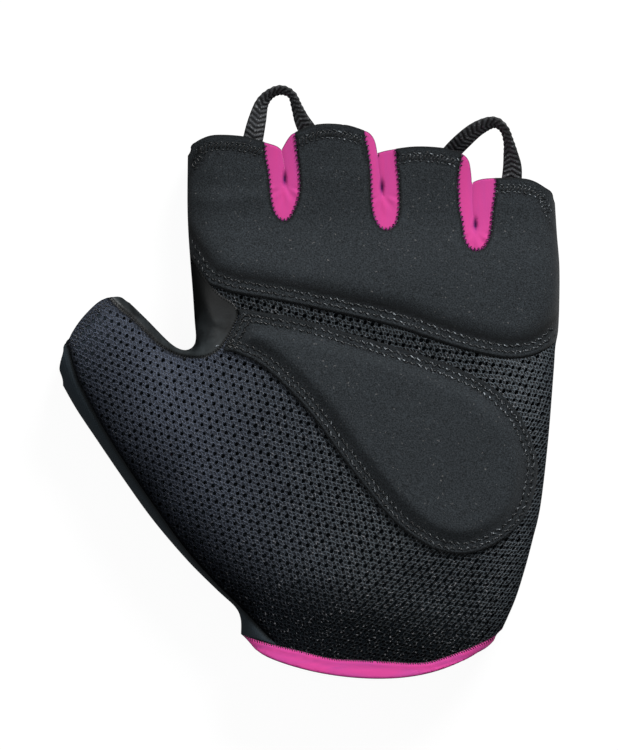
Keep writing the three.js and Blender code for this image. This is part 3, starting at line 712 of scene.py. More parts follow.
def set_coordinates(mesh, points):
    mesh.vertices.foreach_set("co", (points * MM).ravel())
    mesh.update()


def from_edge(mesh, points):
    """Distance of each vertex from the piece's open edge, whose edges have one face each"""
    faces = np.bincount(read(mesh.loops, "edge_index", 1, int), minlength=len(mesh.edges))
    ends = points[read(mesh.edges, "vertices", 2, int)[faces == 1]]
    steps = np.linspace(0, 1, 5)[:, None, None]
    samples = (ends[:, 0] * (1 - steps) + ends[:, 1] * steps).reshape(-1, 3)
    return nearest(search_tree(samples), points)[1]


def round_edge(obj, radius):
    """Rolls the piece's open edge over, away from its outer face, and keeps the distance as an attribute"""
    points = coordinates(obj.data)
    away = from_edge(obj.data, points)
    near = np.clip(radius - away, 0, radius)
    normals = read(obj.data.vertex_normals, "vector", 3)
    drop = radius - np.sqrt(np.maximum(radius**2 - near**2, 0))
    drop *= smooth(0.35, 0.8, np.abs(normals[:, 2]))
    set_coordinates(obj.data, points - normals * drop[:, None])
    store(obj.data, "from_edge", away)


def select_only(obj):
    bpy.ops.object.select_all(action="DESELECT")
    obj.select_set(True)
    bpy.context.view_layer.objects.active = obj


def thicken(obj, wall, angle=50):
    """Gives a sheet its wall, inwards, and smooth shading"""
    select_only(obj)
    solidify = obj.modifiers.new("Wall", "SOLIDIFY")
    solidify.thickness = wall * MM
    solidify.offset = -1
    solidify.use_quality_normals = True
    bpy.ops.object.modifier_apply(modifier=solidify.name)
    gather_astray(obj.data)
    bpy.ops.object.shade_smooth_by_angle(angle=math.radians(angle))


def gather_astray(mesh):
    """Sets inner points that came out past the outline beside their outer ones, as their neighbours are"""
    points = coordinates(mesh)
    half = len(points) // 2
    outer, step = points[:half], points[half:] - points[:half]
    fine = shared["plan"].glove(points[half:])
    kept, astray = np.flatnonzero(fine), np.flatnonzero(~fine)
    near, _ = nearest(search_tree(outer[kept]), outer[astray])
    points[half + astray] = outer[astray] + 0.5 * step[kept[near]]
    set_coordinates(mesh, points)


def store(mesh, name, values):
    attribute = mesh.attributes.new(name, "FLOAT", "POINT")
    attribute.data.foreach_set("value", values.astype(np.float32))


def raised(plan, flat, full):
    """Height of the palm side over plan points, before any padding"""
    x, y = flat.T
    high = SEAM_Z + (palm_height(x, y) + waves(x, y)) * full
    high -= GROOVE_DEPTH * groove(plan, flat) * np.clip(full * 1.6, 0, 1)
    high -= DIMPLE_DEPTH * dimple(flat)
    for crease in plan.creases:
        high += CREASE_HEIGHT * bell(distance_to(crease, flat), CREASE_REACH)
    for line, height, reach in plan.folds:
        high += height * bell(distance_to(line, flat), reach) * full
    for x_at, y_at in DIMPLES.values():
        away = np.hypot(x - x_at, y - y_at + 1.5)
        ripple = np.sin(8 * np.arctan2(x - x_at, y_at - 1.5 - y)) * smooth(y_at - 1, y_at - 3, y)
        high += RIPPLE_HEIGHT * ripple * bell(away - 3, 1.7)
    return high


def sheet(plan, name, top, back, lines, grid, radius, wall, top_raise=None, paint=()):
    """One cloth piece. top and back tell which plan points it covers on the palm side and on the back."""
    drawn = [*plan.walls, *plan.rims, *lines]
    seam_points = [beside(evenly(line, SEAM_STEP), SEAM_ROWS, True) for line in (*plan.rims, *lines)]
    near = np.vstack(wall_points(plan) + seam_points)
    near = near[top(near) | back(near)]
    loose = hexagons(grid, *PLAN_BOX)
    loose = loose[top(loose) | back(loose)]
    for line in drawn:
        loose = loose[distance_to(line, loose) > grid * 0.6]
    flat, faces = triangulate(drawn, np.vstack([near, loose]))
    middle = flat[faces].mean(axis=1)
    on_top, on_back = top(middle), back(middle)
    full, full_back = fullness(plan, flat)
    high = raised(plan, flat, full)
    if top_raise is not None:
        high += top_raise(flat) * np.clip(full * 2.2, 0, 1)
    low = np.maximum(0, SEAM_Z - BACK_DEPTH * full_back)
    rise = lift(*flat.T)
    points = np.vstack([np.column_stack([flat, high + rise]), np.column_stack([flat, low + rise])])
    at_wall = np.flatnonzero(full_back < 1e-3)
    under = np.arange(len(flat)) + len(flat)
    under[at_wall] = at_wall
    obj = new_cloth(name, points, np.vstack([faces[on_top], under[faces[on_back]][:, ::-1]]))
    bpy.context.view_layer.update()
    round_edge(obj, radius)
    made_at = coordinates(obj.data)
    for label, values in paint:
        store(obj.data, label, values(made_at))
    thicken(obj, wall)
    return obj


def nothing(points):
    return np.zeros(len(points), bool)


def dress(obj, material, slot, *nodes):
    """Hands a finished piece to the frame"""
    obj.data.materials.append(materials[material])
    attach(obj, BODY)
    if nodes:
        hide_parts(*nodes)


# Node helpers


def node(tree, kind, values=None, **settings):
    """A new node. Each of its inputs is given a number, a colour, a vector or a link."""
    made = tree.nodes.new(kind)
    for key, value in settings.items():
        setattr(made, key, value)
    for key, value in (values or {}).items():
        if isinstance(value, bpy.types.NodeSocket):
            tree.links.new(value, made.inputs[key])
        elif value is not None:
            made.inputs[key].default_value = value
    return made


def math_node(tree, operation, a, b=None, c=None, clamp=False):
    return node(tree, "ShaderNodeMath", {0: a, 1: b, 2: c}, operation=operation, use_clamp=clamp).outputs[0]


def times(tree, a, b, clamp=False):
    return math_node(tree, "MULTIPLY", a, b, clamp=clamp)


def times_plus(tree, a, b, c):
    return math_node(tree, "MULTIPLY_ADD", a, b, c)


def mix_colour(tree, factor, a, b, blend="MIX"):
    values = {0: factor, 6: a, 7: b}
    return node(tree, "ShaderNodeMix", values, data_type="RGBA", blend_type=blend).outputs[2]


def ramp(tree, value, start, end):
    """0 at the start and 1 at the end"""
    values = {"Value": value, "From Min": start, "From Max": end}
    return node(tree, "ShaderNodeMapRange", values).outputs["Result"]


def noise(tree, vector, scale, detail=2.0, roughness=0.5):
    values = {"Vector": vector, "Scale": scale, "Detail": detail, "Roughness": roughness}
    return node(tree, "ShaderNodeTexNoise", values).outputs["Fac"]


def place_on(tree):
    """Object coordinates"""
    return node(tree, "ShaderNodeTexCoord").outputs["Object"]


def stored(tree, name):
    """A number kept on the piece's own points"""
    return node(tree, "ShaderNodeAttribute", attribute_name=name).outputs["Fac"]


def use(tree, group, **values):
    values = {key.replace("_", " "): value for key, value in values.items()}
    return node(tree, "ShaderNodeGroup", values, node_tree=groups[group]).outputs


def new_group(name, inputs, wire):
    """A node group of numbers. wire makes its nodes from its inputs, and returns what each output is."""
    group = bpy.data.node_groups.new(name, "ShaderNodeTree")
    for label, default in inputs.items():
        kind = "NodeSocketVector" if default is None else "NodeSocketFloat"
        made = group.interface.new_socket(name=label, in_out="INPUT", socket_type=kind)
        if default is not None:
            made.default_value = default
    results = wire(group, group.nodes.new("NodeGroupInput").outputs)
    for label in results:
        group.interface.new_socket(name=label, in_out="OUTPUT", socket_type="NodeSocketFloat")
    node(group, "NodeGroupOutput", results)
    return group


def nap(group, given):
    """Brushed fibres: a soft mottle, a fine speckle and a height, all on Object coordinates"""
    place = place_on(group)
    fine = noise(group, place, given["Fibre Scale"], 2.0, 0.6)
    broad = noise(group, place, given["Mottle Scale"], 4.0, 0.55)
    middle = noise(group, place, 1100.0, 2.0, 0.6)
    return {
        "Mottle": ramp(group, broad, 0.3, 0.7),
        "Speckle": ramp(group, fine, 0.34, 0.66),
        "Height": times_plus(group, middle, 0.6, fine),
    }


def glint(group, given):
    """Sparse bright flecks, where a fibre catches the light"""
    fine = noise(group, place_on(group), given["Scale"], 1.0, 0.5)
    over = math_node(group, "SUBTRACT", fine, given["Rarity"])
    return {"Fleck": times(group, over, 9.0, clamp=True)}


def knit(group, given):
    """Wales and courses of a fine knit, which run on down the sides"""
    place = place_on(group)
    parts = node(group, "ShaderNodeSeparateXYZ", {0: place}).outputs
    threads = []
    for axis, rate in (("X", 6.0), ("Y", 8.5)):
        way = times_plus(group, parts["Z"], 0.8, parts[axis])
        threads.append(math_node(group, "SINE", times(group, way, times(group, given["Scale"], rate))))
    both = times_plus(group, threads[0], 0.6, times(group, threads[1], 0.4))
    fuzz = noise(group, place, 2200.0, 2.0, 0.6)
    return {"Height": times_plus(group, fuzz, 1.2, both), "Tone": ramp(group, both, -1.0, 1.0)}


def net(group, given):
    """Yarns of the mesh: thin strands round each hole and the three pits beside it, or slanting strands"""
    parts = node(group, "ShaderNodeSeparateXYZ", {0: given["Place"]}).outputs
    across = times_plus(group, math_node(group, "SUBTRACT", parts["X"], parts["Y"]), 2.0, 0.15)
    along = times_plus(group, parts["Y"], 2.0, 0.15)
    slanting = node(group, "ShaderNodeCombineXYZ", {0: across, 1: along}).outputs[0]
    shift = {0: given["Place"], 1: (0.1, 0.1, 0)}
    moved = node(group, "ShaderNodeVectorMath", shift, operation="ADD").outputs[0]
    mixed = {0: given["Loose"]}
    for k, (place, scale, random) in enumerate(((moved, 2.0, 0.4), (slanting, 1.0, 0.3))):
        cells = node(
            group,
            "ShaderNodeTexVoronoi",
            {"Vector": place, "Scale": scale, "Randomness": random},
            voronoi_dimensions="2D",
            feature="DISTANCE_TO_EDGE",
        )
        mixed[2 + k] = ramp(group, cells.outputs["Distance"], 0.27, 0.05)
    strand = node(group, "ShaderNodeMix", mixed).outputs[0]
    return {"Strand": strand, "Fuzz": noise(group, given["Place"], 7.0, 2.0, 0.6)}


def new_material(name, roughness, sheen=0.0, specular=0.5):
    material = bpy.data.materials.new(name)
    material.use_nodes = True
    tree = material.node_tree
    shader = tree.nodes["Principled BSDF"]
    shader.inputs["Roughness"].default_value = roughness
    shader.inputs["Sheen Weight"].default_value = sheen
    shader.inputs["Sheen Roughness"].default_value = 0.45
    shader.inputs["Specular IOR Level"].default_value = specular
    return material, tree, shader


def coat(tree, shader, colour, height, distance, strength):
    """Gives a material its colour and its bumps"""
    tree.links.new(colour, shader.inputs["Base Color"])
    bumps = node(tree, "ShaderNodeBump", {"Height": height, "Distance": distance, "Strength": strength})
    tree.links.new(bumps.outputs["Normal"], shader.inputs["Normal"])


def grey(value):
    return (value, value, value, 1.0)


def scaled(rgba, k):
    return (rgba[0] * k, rgba[1] * k, rgba[2] * k, 1.0)


def between(tree, factor, base, low, high):
    """A colour from so much of the base to so much of it"""
    return mix_colour(tree, factor, scaled(base, low), scaled(base, high))


def marked(tree, name, amount, plain, mark):
    """The plain colour, and the mark's where the stored number is 1"""
    return mix_colour(tree, times(tree, stored(tree, name), amount), plain, mark)


def edge_shaded(tree, start, end, edge, plain):
    """Painted shade along the piece's open edge, where it rolls over into its seam"""
    return mix_colour(tree, ramp(tree, stored(tree, "from_edge"), start, end), edge, plain)


def suede_material():
    material, tree, shader = new_material("Suede", 0.95, 0.08, 0.2)
    fibres = use(tree, "nap")
    base = tint("suede")
    broad = between(tree, fibres["Mottle"], base, 0.84, 1.14)
    fine = between(tree, fibres["Speckle"], base, 0.2, 2.0)
    both = mix_colour(tree, 0.7, broad, fine)
    lit = mix_colour(tree, use(tree, "glint", Scale=1400.0, Rarity=0.7)["Fleck"], both, grey(0.12))
    # Painted shade on the foot of each padded slope, which turns away from the key light
    flank_shaded = marked(tree, "painted_flank_shade", 0.88, lit, scaled(base, 0.25))
    # Along the stitch rows the suede gets a rough speckle and painted shade of the stitch channels
    rough = between(tree, fibres["Speckle"], base, 0.04, 1.3)
    channel_shaded = marked(tree, "band", 0.9, flank_shaded, rough)
    coat(tree, shader, edge_shaded(tree, 0.2, 0.9, scaled(base, 0.35), channel_shaded), fibres["Height"], 0.00022, 0.7)
    return material


def mesh_material():
    material, tree, shader = new_material("Spacer Mesh", 0.6)
    place = node(tree, "ShaderNodeUVMap", uv_map="Yarn").outputs["UV"]
    yarns = use(tree, "net", Place=place, Loose=stored(tree, "loose"))
    mesh_shade_amount, crisp, strand = stored(tree, "mesh_shade"), stored(tree, "crisp"), yarns["Strand"]
    base, fine = tint("mesh"), tint("mesh_fine")
    soft = between(tree, strand, base, 0.36, 1.0)
    hard = between(tree, strand, fine, 0.03, 1.0)
    both = mix_colour(tree, crisp, soft, hard)
    uneven = mix_colour(tree, ramp(tree, yarns["Fuzz"], 0.32, 0.7), grey(0.2), grey(2.2))
    yarn = mix_colour(tree, 1.0, both, uneven, "MULTIPLY")
    # Painted shade over the mesh, stored on its points; its specular dims with it below
    shade = mix_colour(tree, mesh_shade_amount, grey(1.0), grey(0.12))
    shaded = mix_colour(tree, 1.0, yarn, shade, "MULTIPLY")
    fleck = times(tree, use(tree, "glint", Scale=1700.0, Rarity=0.63)["Fleck"], strand)
    fleck = times(tree, fleck, times_plus(tree, crisp, 0.9, 0.3))
    lit = mix_colour(tree, fleck, shaded, (0.2, 0.2, 0.21, 1))
    # Painted shade in the sunken seams
    groove_shaded = marked(tree, "groove", 0.9, lit, (0.001, 0.001, 0.0012, 1))
    tree.links.new(times_plus(tree, mesh_shade_amount, -0.28, 0.3), shader.inputs["Specular IOR Level"])
    height = times_plus(tree, yarns["Fuzz"], 0.35, strand)
    coat(tree, shader, edge_shaded(tree, 0.0, 0.2, scaled(base, 0.08), groove_shaded), height, 0.00025, 0.8)
    return material


def knit_material():
    material, tree, shader = new_material("Stretch Knit", 0.8, 0.05, 0.25)
    loops = use(tree, "knit")
    base = tint("knit")
    tone = between(tree, loops["Tone"], base, 0.8, 1.2)
    # Painted shade in the sunken seams
    coat(tree, shader, marked(tree, "groove", 0.9, tone, scaled(base, 0.1)), loops["Height"], 0.00006, 0.5)
    return material


def leather_material():
    material, tree, shader = new_material("Smooth Leather", 0.5, 0.0, 0.4)
    grain = use(tree, "nap", Fibre_Scale=1500.0, Mottle_Scale=190.0)
    base = tint("leather")
    tone = between(tree, grain["Mottle"], base, 0.2, 2.0)
    shaded = mix_colour(tree, stored(tree, "shade"), tone, scaled(base, 0.18))
    # Painted shade in the sunken seams
    coat(tree, shader, marked(tree, "groove", 0.9, shaded, scaled(base, 0.1)), grain["Height"], 0.0001, 0.5)
    return material


def pink_material(name, between_fingers):
    material, tree, shader = new_material(name, 0.8, 0.05, 0.2)
    fibres = use(tree, "nap", Fibre_Scale=2400.0, Mottle_Scale=260.0)
    base, shade = tint("pink"), tint("pink_shade")
    # The binding's pink is painted lighter, against the shade where it curves away from the key light
    if not between_fingers:
        base, shade = scaled(base, 1.18), scaled(shade, 1.15)
    stretch = (900, 130, 300) if between_fingers else (110, 700, 300)
    stretched = node(tree, "ShaderNodeMapping", {"Vector": place_on(tree), "Scale": stretch}).outputs[0]
    streak = ramp(tree, noise(tree, stretched, 1.0, 2.0, 0.5), 0.4, 0.7)
    if between_fingers:
        streak = times_plus(tree, stored(tree, "shade"), 0.75, times(tree, streak, 0.4))
    soft = mix_colour(tree, times(tree, streak, 0.8, clamp=True), base, shade)
    if between_fingers:
        # Painted shade, dark purple, in the dimples and along the seams
        soft = mix_colour(tree, stored(tree, "dimple"), soft, (0.11, 0.016, 0.16, 1))
    else:
        # Painted shade along the binding's fold
        soft = marked(tree, "fold", 0.3, soft, scaled(shade, 0.8))
    coat(tree, shader, edge_shaded(tree, 0.0, 0.28, scaled(shade, 0.15), soft), fibres["Height"], 0.00006, 0.4)
    return material


def webbing_material():
    material, tree, shader = new_material("Webbing", 0.55, 0.05, 0.4)
    rib = stored(tree, "rib")
    # The weave's ribs, with painted highlight on their tops and painted shade between them
    tone = between(tree, rib, tint("webbing"), 0.12, 3.0)
    fleck = times(tree, use(tree, "glint", Scale=1700.0, Rarity=0.58)["Fleck"], rib)
    lit = mix_colour(tree, fleck, tone, (0.24, 0.25, 0.26, 1))
    coat(tree, shader, lit, use(tree, "nap")["Height"], 0.0002, 0.7)
    return material


def thread_material(name, k):
    material, tree, shader = new_material(name, 0.35)
    fibres = use(tree, "nap", Fibre_Scale=3000.0)
    base = scaled(tint("thread"), k)
    tone = between(tree, fibres["Speckle"], base, 0.3, 3.0)
    lit = mix_colour(tree, use(tree, "glint", Scale=1500.0, Rarity=0.55)["Fleck"], tone, scaled(base, 14.0))
    # Painted light: threads dimmed by place, darker to the left and towards the wrist
    thread_painted_light = mix_colour(tree, stored(tree, "light"), scaled(base, 0.5), lit)
    coat(tree, shader, thread_painted_light, fibres["Height"], 0.0001, 0.6)
    return material


groups = {}
materials = {}
shared = {}


def prepare():
    """Makes the node groups, the materials and the plan that the pieces share"""
    groups.update(
        nap=new_group("Nap", {"Fibre Scale": 2900.0, "Mottle Scale": 160.0}, nap),
        glint=new_group("Glint", {"Scale": 1500.0, "Rarity": 0.74}, glint),
        knit=new_group("Knit", {"Scale": 1300.0}, knit),
        net=new_group("Net", {"Place": None, "Loose": 0.0}, net),
    )
    materials.update(
        suede=suede_material(),
        mesh=mesh_material(),
        knit=knit_material(),
        leather=leather_material(),
        fourchette=pink_material("Elastic Fabric", True),
        binding=pink_material("Elastic Binding", False),
        webbing=webbing_material(),
        thread=thread_material("Sewing Thread", 1.0),
        dark_thread=thread_material("Overlock Thread And Stitch Shadow", 0.3),
        light_thread=thread_material("Thread End", 12.0),
    )
    shared["plan"] = Plan(mm("slot_gap"))


# Sewing


def surface_of(*names):
    """A ray caster over the finished pieces' outer faces"""
    points, faces, count = [], [], 0
    for name in names:
        mesh = bpy.data.objects[name].data
        points.extend(coordinates(mesh).tolist())
        faces.extend(tuple(i + count for i in p.vertices) for p in mesh.polygons)
        count += len(mesh.vertices)
    return BVHTree.FromPolygons(points, faces)


def dropped(tree, flat):
    """Where plan points land on the palm side, with the cloth's normals there, or None"""
    found = []
    for x, y in flat.tolist():
        place, normal, _, _ = tree.ray_cast(Vector((x, y, 60)), Vector((0, 0, -1)))
        found.append(None if place is None else (np.array(place), np.array(normal)))
    return found


def sewn(tree, a, b):
    return [(p, q) for p, q in zip(dropped(tree, a), dropped(tree, b)) if p is not None and q is not None]


def tube_faces(start, rings, sides):
    """Faces of a closed tube, whose points follow ring after ring from number start"""
    faces = []
    for k in range(rings - 1):
        for s in range(sides):
            p, q = start + k * sides + s, start + k * sides + (s + 1) % sides
            faces.append((p, q, q + sides, p + sides))
    last = start + (rings - 1) * sides
    return faces + [tuple(start + s for s in reversed(range(sides))), tuple(last + s for s in range(sides))]


def stitch_mesh(name, ends, radius, arch, sides=6, rings=5):
    """Short threads, each from one place on the cloth to another, as one mesh"""
    t = np.linspace(0, 1, rings)
    angle = 2 * np.pi * np.arange(sides) / sides
    points, faces = [], []
    fat = radius * (0.5 + 0.5 * np.sin(np.pi * t))
    rise = arch * np.sin(np.pi * t) - 0.3 * radius * np.abs(2 * t - 1) ** 2
    for (a, na), (b, nb) in ends:
        along = b - a
        length = np.linalg.norm(along)
        if length < 0.05 or length > 6:
            continue
        up = na + nb
        up = up - along * (up @ along) / length**2
        up /= np.linalg.norm(up)
        side = np.cross(along / length, up)
        start = len(points)
        for k in range(rings):
            centre = a + along * t[k] + up * rise[k]
            for turn in angle:
                points.append(centre + fat[k] * (np.cos(turn) * side + np.sin(turn) * up))
        faces += tube_faces(start, rings, sides)
    obj = new_object(name, np.array(points), faces)
    obj.data.polygons.foreach_set("use_smooth", np.ones(len(faces), bool))
    return obj


def row_of_stitches(tree, line, keep, length, gap, slant, start=0.0):
    """Stitches one after another along a plan line, each turned aside by slant millimetres"""
    path = evenly(line, STITCH_STEP)[int(start / STITCH_STEP):]
    aside = right_of(path) * slant / 2
    step, dash = int(round((length + gap) / STITCH_STEP)), int(round(length / STITCH_STEP))
    starts = np.arange(0, len(path) - dash, step)
    a, b = path[starts] - aside[starts], path[starts + dash] + aside[starts + dash]
    rng = np.random.default_rng(len(path))
    a += rng.normal(0, STITCH_STRAY, a.shape)
    b += rng.normal(0, STITCH_STRAY, b.shape)
    kept = keep(a) & keep(b)
    return sewn(tree, a[kept], b[kept])


def rows_of_stitches(tree, line, rows, keep, stitch, bare=0):
    """Rows at distances to the right of a plan line, each without so many of its first and last steps"""
    pairs = []
    for away in rows:
        path = (line + right_of(line) * away)[bare:len(line) - bare]
        pairs += row_of_stitches(tree, path, keep, **stitch)
    return pairs


def crossing_stitches(tree, line, keep, spacing, before, after, forward):
    """Threads side by side across a plan line, from so far left of it to so far right of it"""
    path = evenly(line, spacing)
    along = np.gradient(path, axis=0) / spacing
    a = path - right_of(path) * before
    b = path + right_of(path) * after + along * forward
    kept = keep(a) & keep(b)
    return sewn(tree, a[kept], b[kept])


class PieceOperator:
    """What the operators share: each piece is built on the plan that the stage has prepared"""

    bl_options = {"REGISTER", "UNDO"}

    def execute(self, context):
        self.build(shared["plan"])
        return {"FINISHED"}


class GLOVE_OT_stage(PieceOperator, bpy.types.Operator):
    """Floor, soft light and a camera straight above the palm"""

    bl_idname = "glove.stage"
    bl_label = "Stage"

    def execute(self, context):
        prepare()
        bpy.ops.object.select_all(action="DESELECT")
        bpy.ops.mesh.primitive_plane_add(size=30, location=(0, 0, -0.0002))
        floor = context.object
        floor.name = "Floor"
        floor.visible_diffuse = False
        floor.visible_glossy = False
        material, _, shader = new_material("Pale Floor", 0.9, 0.0, 0.0)
        shader.inputs["Base Color"].default_value = grey(0.1)
        shader.inputs["Emission Color"].default_value = grey(1.0)
        shader.inputs["Emission Strength"].default_value = FLOOR_GLOW
        floor.data.materials.append(material)
        self.light_studio(context)
        bpy.ops.object.camera_add(location=(0, PHOTO_MIDDLE * MM, CAMERA_AWAY))
        camera = context.object
        camera.name = "Camera"
        camera.data.sensor_fit = "VERTICAL"
        camera.data.sensor_height = SENSOR
        camera.data.lens = SENSOR * (CAMERA_AWAY - SEAM_Z * MM) / (PHOTO_HEIGHT * MM)
        context.scene.camera = camera
        context.scene.view_settings.view_transform = "Standard"
        return {"FINISHED"}

    def light_studio(self, context):
        """The lights, and a room that is dark below the floor"""
        for name, place, size, power in LIGHTS:
            bpy.ops.object.light_add(type="AREA", location=place)
            light = context.object
            light.name = name
            light.data.size = size
            light.data.energy = power
            light.rotation_euler = Vector(place).to_track_quat("Z", "Y").to_euler()
        world = bpy.data.worlds.new("Studio")
        world.use_nodes = True
        tree = world.node_tree
        way = node(tree, "ShaderNodeTexCoord").outputs["Generated"]
        parts = node(tree, "ShaderNodeSeparateXYZ", {0: way})
        above = ramp(tree, parts.outputs["Z"], -0.02, 0.02)
        seen = tree.nodes.new("ShaderNodeLightPath").outputs["Is Camera Ray"]
        strength = math_node(tree, "MAXIMUM", times(tree, above, ROOM_LIGHT), seen)
        tree.nodes["Background"].inputs["Color"].default_value = grey(1.0)
        tree.links.new(strength, tree.nodes["Background"].inputs["Strength"])
        context.scene.world = world


class GLOVE_OT_back_panel(PieceOperator, bpy.types.Operator):
    """Stretch-knit back, with the strip that wraps round the thumb side to the palm"""

    bl_idname = "glove.back_panel"
    bl_label = "Back Panel"

    def build(self, plan):
        def back(p):
            return plan.glove(p) & ~plan.wraps(p)

        def strip(p):
            return back(p) & (plan.test("strip", p) | (distance_to(plan.strip, p) < STRIP_TUCK))

        def sink(p):
            return -STRIP_DEPTH * smooth(0, 0.5, distance_to(plan.strip, p)) * ~plan.test("strip", p)

        obj = sheet(
            plan,
            "back_panel_knit",
            strip,
            back,
            [plan.strip, plan.tuck, plan.gusset, plan.cuff_seam, *plan.fourchettes.values()],
            grid=BACK_GRID,
            radius=0.5,
            wall=mm("wall"),
            top_raise=sink,
            paint=(("groove", on_palm_side(plan)),),
        )
        dress(obj, "knit", "stretch_knit", "back_panel")


def on_palm_side(plan):
    """The grooves, with their painted shade, for a piece that also covers the back"""
    return lambda p: groove(plan, p) * smooth(SEAM_Z - 2, SEAM_Z + 2, p[:, 2])


def sag(x):
    """How far a row of the mesh's holes sags at x"""
    return SAG[0] * x - SAG[1] * x**2


def droop(x, v):
    """How much further row v sags beside the heel pad's right"""
    return DROOP * np.maximum(x - DROOP_FROM, 0) ** 2 * smooth(-14, -2, v)


def counted(place, step, narrowing):
    """How many steps lie between 0 and a place, where the steps narrow past two places"""
    (high, more), (low, less) = narrowing
    over, under = np.maximum(place - high, 0), np.minimum(place - low, 0)
    return place / step + more * over**2 + less * under**2


def column(x, v, pitch):
    """How many holes lie between x and the middle of row v, whose shift grows above the heel pad's right"""
    shift = ROW_SHIFT * v + 0.33 * smooth(8, 44, x) * np.maximum(v, 0)
    return counted(x, pitch, COLUMN_NARROWING) + shift


def lattice(pitch):
    """Middles of the mesh's holes in plan, in rows that sag to the little finger"""
    table = np.arange(-90, 90, 0.5)
    rows = counted(table, pitch * ROW_STEP, ROW_NARROWING)
    holes = []
    for v in range(-60, 50):
        x = np.interp(np.arange(-70, 80), column(table, v, pitch), table)
        y = np.interp(v, rows, table) - sag(x) - droop(x, np.full(len(x), float(v)))
        holes.append(np.column_stack([x, y]))
    return np.vstack(holes)


def yarn_place(points, pitch):
    """A plan point's place among the holes, in pitches, where each hole's middle is a whole number"""
    x, y = points[:, 0], points[:, 1]
    v = counted(y + sag(x), pitch * ROW_STEP, ROW_NARROWING)
    for _ in range(5):
        v = counted(y + sag(x) + droop(x, v), pitch * ROW_STEP, ROW_NARROWING)
    return np.column_stack([column(x, v, pitch), v])


class GLOVE_OT_palm_mesh(PieceOperator, bpy.types.Operator):
    """Spacer mesh of the palm and the thumb's front, pierced by its holes"""

    bl_idname = "glove.palm_mesh"
    bl_label = "Palm Mesh"

    def build(self, plan):
        pitch = mm("hole_pitch")
        seams = [plan.strip, plan.gusset, plan.cuff_seam, plan.knuckle]
        edges = [*plan.walls, *plan.rims, *seams]
        holes = self.kept_holes(plan, edges, lattice(pitch))
        rng = np.random.default_rng(7)
        holes += rng.normal(0, HOLE_STRAY, holes.shape)
        across = mm("hole_size") * rng.uniform(*HOLE_SIZES, len(holes))
        across *= 0.84 + 0.16 * smooth(-42, -5, holes[:, 0]) - 0.12 * smooth(36, 58, holes[:, 0])
        lean = np.maximum(loose_part(holes), 0.7 * smooth(34, 56, holes[:, 0]))
        loops = self.rings(holes, across, lean)
        lips = self.rings(holes, across + HOLE_LIP, lean).reshape(-1, 2)
        lips = lips[from_lines(edges, lips) > 0.15]
        plain = hexagons(MESH_GRID, *PLAN_BOX)
        plain = plain[mesh_region(plain)]
        near_edge = from_lines(edges, plain) < 0.5
        near_hole = nearest(search_tree(holes), plain)[1] < 0.95
        loose = np.vstack([lips, plain[~near_hole & ~near_edge]])
        obj = self.pierced(plan, edges, seams, holes, loops, loose)
        flat = coordinates(obj.data)[:, :2]
        store(obj.data, "groove", groove(plan, flat))
        # Painted shade of the mesh
        store(obj.data, "mesh_shade", mesh_shade(plan, flat))
        store(obj.data, "loose", loose_part(flat))
        store(obj.data, "crisp", np.maximum(smooth(-36, 22, flat[:, 0]), gap_part(flat)))
        corner = read(obj.data.loops, "vertex_index", 1, int)
        layer = obj.data.uv_layers.new(name="Yarn")
        layer.data.foreach_set("uv", yarn_place(flat, pitch)[corner].astype(np.float32).ravel())
        thicken(obj, MESH_WALL, 40)
        dress(obj, "mesh", "spacer_mesh", "palm_mesh")

    def kept_holes(self, plan, edges, holes):
        """The holes that are clear of the edges, of the heel pad's inside and of the thumb's hem"""
        holes = holes[mesh_region(holes)]
        away = from_lines(edges, holes)
        hidden = plan.test("pad", holes) & (distance_to(plan.pad, holes) > PAD_OVERLAP)
        hemmed = distance_to(plan.thumb_rim, holes) < HEM_CLEAR
        return holes[(away > HOLE_CLEAR) & ~hidden & ~hemmed]

    def rings(self, holes, across, lean, sides=8):
        """An oval round each hole, leaning up to the right, and longer and leaner where lean is 1"""
        angle = 2 * np.pi * np.arange(sides) / sides
        way = np.array([math.cos(MESH_LEAN), math.sin(MESH_LEAN)])
        aside = np.array([-way[1], way[0]])
        long = np.outer(np.cos(angle), way)[None] * (0.52 + 0.16 * lean)[:, None, None]
        short = np.outer(np.sin(angle), aside)[None] * (0.4 - 0.08 * lean)[:, None, None]
        return holes[:, None] + (long + short) * across[:, None, None]

    def pierced(self, plan, edges, seams, holes, loops, loose):
        """The pierced sheet: triangles whose middle lies in a hole are left out"""
        near = np.vstack(
            [beside(line, WALL_ROWS, False) for line in plan.walls]
            + [beside(evenly(line, SEAM_STEP), SEAM_ROWS[:3], True) for line in (*plan.rims, *seams)]
        )
        near = near[mesh_region(near)]
        closed = [np.vstack([loop, loop[:1]]) for loop in loops]
        flat, faces = triangulate(edges, np.vstack([near, loose]), closed)
        middle = flat[faces].mean(axis=1)
        shape = loops[nearest(search_tree(holes), middle)[0]]
        side = np.roll(shape, -1, axis=1) - shape
        gone = middle[:, None] - shape
        in_hole = np.all(side[..., 0] * gone[..., 1] - side[..., 1] * gone[..., 0] > 0, axis=1)
        full, _ = fullness(plan, flat)
        high = raised(plan, flat, full) + lift(*flat.T)
        left = faces[mesh_region(middle) & ~in_hole]
        obj = new_cloth("palm_mesh_fabric", np.column_stack([flat, high]), left)
        bpy.context.view_layer.update()
        round_edge(obj, 0.3)
        return obj


def mesh_region(p):
    plan = shared["plan"]
    return plan.glove(p) & ~(plan.wraps(p) | plan.test("strip", p) | plan.test("fingers", p))


